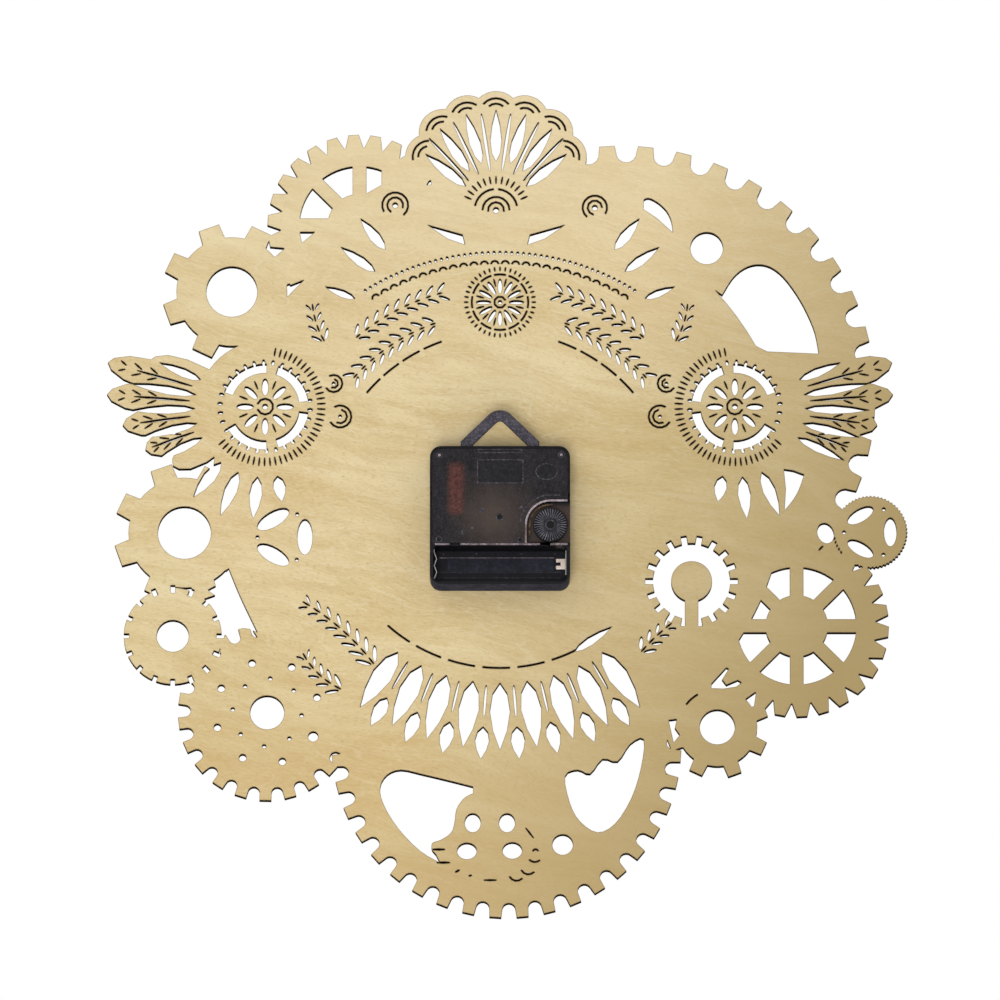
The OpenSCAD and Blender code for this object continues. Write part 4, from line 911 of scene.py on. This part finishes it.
# %% Painted highlight along the lower edge, broken at the two latches
latch_u, latch_half = 18, 2.1
line_low, line_high = cover_foot + 0.05, cover_foot + 0.75
edge_line = bmesh.new()
add_box(edge_line, -cover_high.x / MM + 1.2, -latch_u - latch_half, line_low, line_high)
add_box(edge_line, -latch_u + latch_half, latch_u - latch_half, line_low, line_high)
add_box(edge_line, latch_u + latch_half, side_end, line_low, line_high)
on_cover("cover_edge_line", edge_line, 0.1, highlight_line_plastic)
print("edge line drawn")

# %% [markdown]
# ## Inside the battery bay
# The floor of the bay has a low platform under the cell, two fine ribs and a few bumps, and the foot
# of the positive contact lies bright on its right end. The platform is painted bluer and paler than
# the recess round it, as a painted reflection, and the recess darker, as painted shade. The ribs, bumps
# and the edge of the platform are drawn pale, as painted highlights. The recess and the matt underside
# of the case, which is painted paler and bluer as a painted reflection, are faces of the moulding
# itself, found by where they lie and which way they face, so they only change their material.

# %% Faces of the recess and of the underside
bay_floor = -14.7
underside_high = case_bottom + 2.5
case.data.materials.append(recess_plastic)
case.data.materials.append(underside_reflection_plastic)
# The recess gets painted shade, and the faces that look down get a painted reflection.
for face in case.data.polygons:
    if face.normal.y > 0.9 and abs(face.center.y / MM - bay_floor) < 0.1:
        face.material_index = 1
    elif face.normal.z < -0.5 and face.center.z < underside_high * MM:
        face.material_index = 2
indices = [face.material_index for face in case.data.polygons]
print("faces of the recess", indices.count(1), "and of the underside", indices.count(2))


# %% Platform, ribs and the foot of the contact
def on_bay_floor(name, flat, height, material):
    """A mark of the given height on the floor of the bay, with its root just inside."""
    finished(name, flat, bay_floor - root, bay_floor + height, material)


platform = bmesh.new()
add_box(platform, -21, 21.4, -19.2, -13.7)
on_bay_floor("bay_platform", platform, 0.12, platform_reflection_plastic)
# Painted highlights: the ribs and bumps are paler than the floor.
ribs = bmesh.new()
for low, high in ((-19.75, -19.5), (-22.1, -21.8)):
    add_box(ribs, -24.6, 24.2, low, high)
for u in (-22.6, -9.4, 8.6, 22):
    add_disc(ribs, at(u, -12.2), 0.35, 12)
    add_disc(ribs, at(u - 0.8, -23.6), 0.3, 12)
on_bay_floor("bay_ribs", ribs, 0.2, ridge_highlight_plastic)
# Painted highlight along the edge of the platform.
step = bmesh.new()
add_box(step, -24.4, 21.9, -14.0, -13.72)
on_bay_floor("platform_step", step, 0.3, highlight_line_plastic)
foot = bmesh.new()
bmesh.ops.create_grid(foot, x_segments=2, y_segments=3, size=0.5)
centres = [(face, face.calc_center_median()) for face in foot.faces]
open_part = [face for face, centre in centres if centre.x < 0 and abs(centre.y) < 0.1]
bmesh.ops.delete(foot, geom=open_part, context="FACES")
foot_size = Matrix.Diagonal((3.7, 4.2, 1, 1))
bmesh.ops.transform(foot, verts=foot.verts, matrix=at(24.25, -16.4) @ foot_size)
finished("contact_foot", foot, bay_floor - root / 2, bay_floor + 0.35, contact_metal)
print("bay dressed")

# %% [markdown]
# Inside the ribs the knob has a small boss: a ring drawn pale, as a painted highlight, round a dark dot
# of painted shade. Both ride on the knob, because they turn with it.

# %% Boss in the middle of the knob
boss_root = knob_face - 0.6
boss = bmesh.new()
add_disc(boss, knob_at, 2.1, 24)
hollow(boss, 0.5)
finished("knob_ring", boss, boss_root, knob_face - 0.05, hanger_plastic, body="knob")
boss = bmesh.new()
add_disc(boss, knob_at, 0.8)
finished("knob_dot", boss, boss_root, knob_face - 0.1, shade_plastic, body="knob")
print("boss drawn on the knob")

# %% [markdown]
# ## The dial on the front
# The photograph shows only the back, so the front is a guess: hour numbers and minute marks burnt
# lightly into the plain disc, centred on the arbors that carry the hands. A picture on the disc would
# blur close by, so each mark is a piece, hardly higher than the wood. A number is a text made into a
# mesh first and turned to face the room afterwards.

# %% Helper for pieces on the dial
number_ring, mark_ring = 44.5, 51.5
proud = 0.04
FROM_FRONT = Matrix(((MM, 0, 0, 0), (0, 0, -MM, panel_front * MM), (0, MM, 0, 0), (0, 0, 0, 1)))


def to_front(name, shape, material):
    """Turns a flat drawing seen from the front into a thin piece on the dial."""
    push_out(shape, -root, proud)
    bmesh.ops.transform(shape, verts=shape.verts, matrix=FROM_FRONT)
    piece = linked(name, shape, material)
    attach(piece, "clock")


print("numbers stand on a circle of", number_ring, "mm")

# %% Numbers and minute marks
digit_height = 10
for hour in range(1, 13):
    text = bpy.data.curves.new("number", "FONT")
    text.body, text.size = str(hour), digit_height
    text.align_x, text.align_y = "CENTER", "CENTER"
    text.resolution_u = 4
    holder = bpy.data.objects.new("number", text)
    bpy.context.scene.collection.objects.link(holder)
    bpy.context.view_layer.update()
    flat_mesh = bpy.data.meshes.new_from_object(holder.evaluated_get(bpy.context.evaluated_depsgraph_get()))
    bpy.data.objects.remove(holder)
    digits = bmesh.new()
    digits.from_mesh(flat_mesh)
    angle = math.radians(90 - 30 * hour)
    place = (number_ring * math.cos(angle), number_ring * math.sin(angle), 0)
    bmesh.ops.translate(digits, verts=digits.verts, vec=place)
    to_front(f"hour_number_{hour:02d}", digits, scorch)
marks = bmesh.new()
for minute in range(60):
    length, width = (3.0, 0.9) if minute % 5 == 0 else (1.8, 0.45)
    add_leaf(marks, at(0, 0, 6 * minute), mark_ring, length, width)
to_front("minute_marks", marks, scorch)
print("dial marked")

# %% [markdown]
# ## Light and camera
# The clock was photographed from behind and a little below, from far away, so the picture has
# almost no perspective. The camera stands far off too, with a long lens that makes up for it.

# %% Camera
view_width, distance = 0.4, 12.0
below = math.radians(10)
film_width = 36
middle_height = 0.0101
target = Vector((0, panel_back * MM, middle_height))
camera = bpy.data.objects.new("camera", bpy.data.cameras.new("camera"))
bpy.context.scene.collection.objects.link(camera)
camera.location = target + Vector((0, math.cos(below), -math.sin(below))) * distance
camera.rotation_mode = "QUATERNION"
camera.rotation_quaternion = (target - camera.location).to_track_quat("-Z", "Y")
camera.data.sensor_width = film_width
camera.data.lens = film_width * distance / view_width
camera.data.clip_end = 50
bpy.context.scene.camera = camera
print("lens", round(camera.data.lens), "mm")

# %% [markdown]
# Soft lamps stand on both sides. At the back the strongest stands by the camera, because the clock
# throws hardly any shadow in the picture. Weaker ones at the upper left, at the upper right and below
# model its shape. The two in front keep the dial readable in other views.


# %% Lamps
def lamp(name, place, size, power):
    """A soft white lamp that looks at the clock."""
    light = bpy.data.objects.new(name, bpy.data.lights.new(name, "AREA"))
    light.data.size, light.data.energy = size, power
    light.location = place
    light.rotation_mode = "QUATERNION"
    light.rotation_quaternion = (-Vector(place)).to_track_quat("-Z", "Y")
    bpy.context.scene.collection.objects.link(light)


lamp("key_behind", (1.1, 1.9, 1.0), 2.0, 12)
lamp("fill_behind", (-1.1, 1.7, 0.7), 1.6, 5.5)
lamp("low_behind", (0.2, 1.5, -1.3), 1.6, 6.5)
lamp("by_the_camera", (0.2, 2.75, -0.85), 0.8, 31)
lamp("key_front", (-0.9, -1.6, 1.3), 1.4, 38)
lamp("fill_front", (1.3, -1.6, 0.0), 1.4, 13)
print("lamps", [light.name for light in bpy.data.lights])

# %% [markdown]
# The picture has a white ground, but white light from all sides would wash the black plastic out. So
# the world is white only where it is seen directly, in a mirror or through glass, and what it sheds on
# the clock is weaker and a little blue. The floor is pale paint that glows for the same rays.

# %% Background
world = bpy.data.worlds.new("studio")
bpy.context.scene.world = world
world.use_nodes = True
tree = world.node_tree
tree.nodes.clear()


def seen_directly(tree):
    """1 for what the camera, a mirror or a clear piece shows, 0 for light that falls on the clock."""
    path = add(tree, "LightPath").outputs
    return math_node(tree, "MAXIMUM", path["Is Glossy Ray"],
                     math_node(tree, "MAXIMUM", path["Is Camera Ray"], path["Is Transmission Ray"]))


seen = seen_directly(tree)
soft = add(tree, "Background", Color=(0.92, 0.95, 1, 1), Strength=0.27)
white = add(tree, "Background", Color=(1, 1, 1, 1), Strength=1.0)
both_looks = add(tree, "MixShader", i0=seen, i1=soft.outputs[0], i2=white.outputs[0])
tree.links.new(both_looks.outputs[0], add(tree, "OutputWorld").inputs["Surface"])
print("background", world.name)

# %% Floor
floor_reach, floor_height = 16, -2.5
glow_share = 0.8
floor_paint, tree, shader = finish_named("pale_floor")
unevenness = noise(tree, place_of(tree, (3, 3, 3)))
paint = mix(tree, unevenness, screen(244, 244, 242), screen(250, 250, 249))
tree.links.new(paint, shader.inputs["Base Color"])
shader.inputs["Roughness"].default_value = 0.9
glow = add(tree, "Emission", Color=(1, 1, 1, 1), Strength=1.0)
share = math_node(tree, "MULTIPLY", seen_directly(tree), glow_share)
floor_look = add(tree, "MixShader", i0=share, i1=shader.outputs[0], i2=glow.outputs[0])
tree.links.new(floor_look.outputs[0], tree.nodes["Material Output"].inputs["Surface"])
floor_shape = bmesh.new()
bmesh.ops.create_grid(floor_shape, x_segments=4, y_segments=4, size=floor_reach)
bmesh.ops.translate(floor_shape, verts=floor_shape.verts, vec=(0, 0, floor_height))
floor = linked("floor", floor_shape, floor_paint)
bpy.context.scene.view_settings.view_transform = "Standard"
print("studio ready")
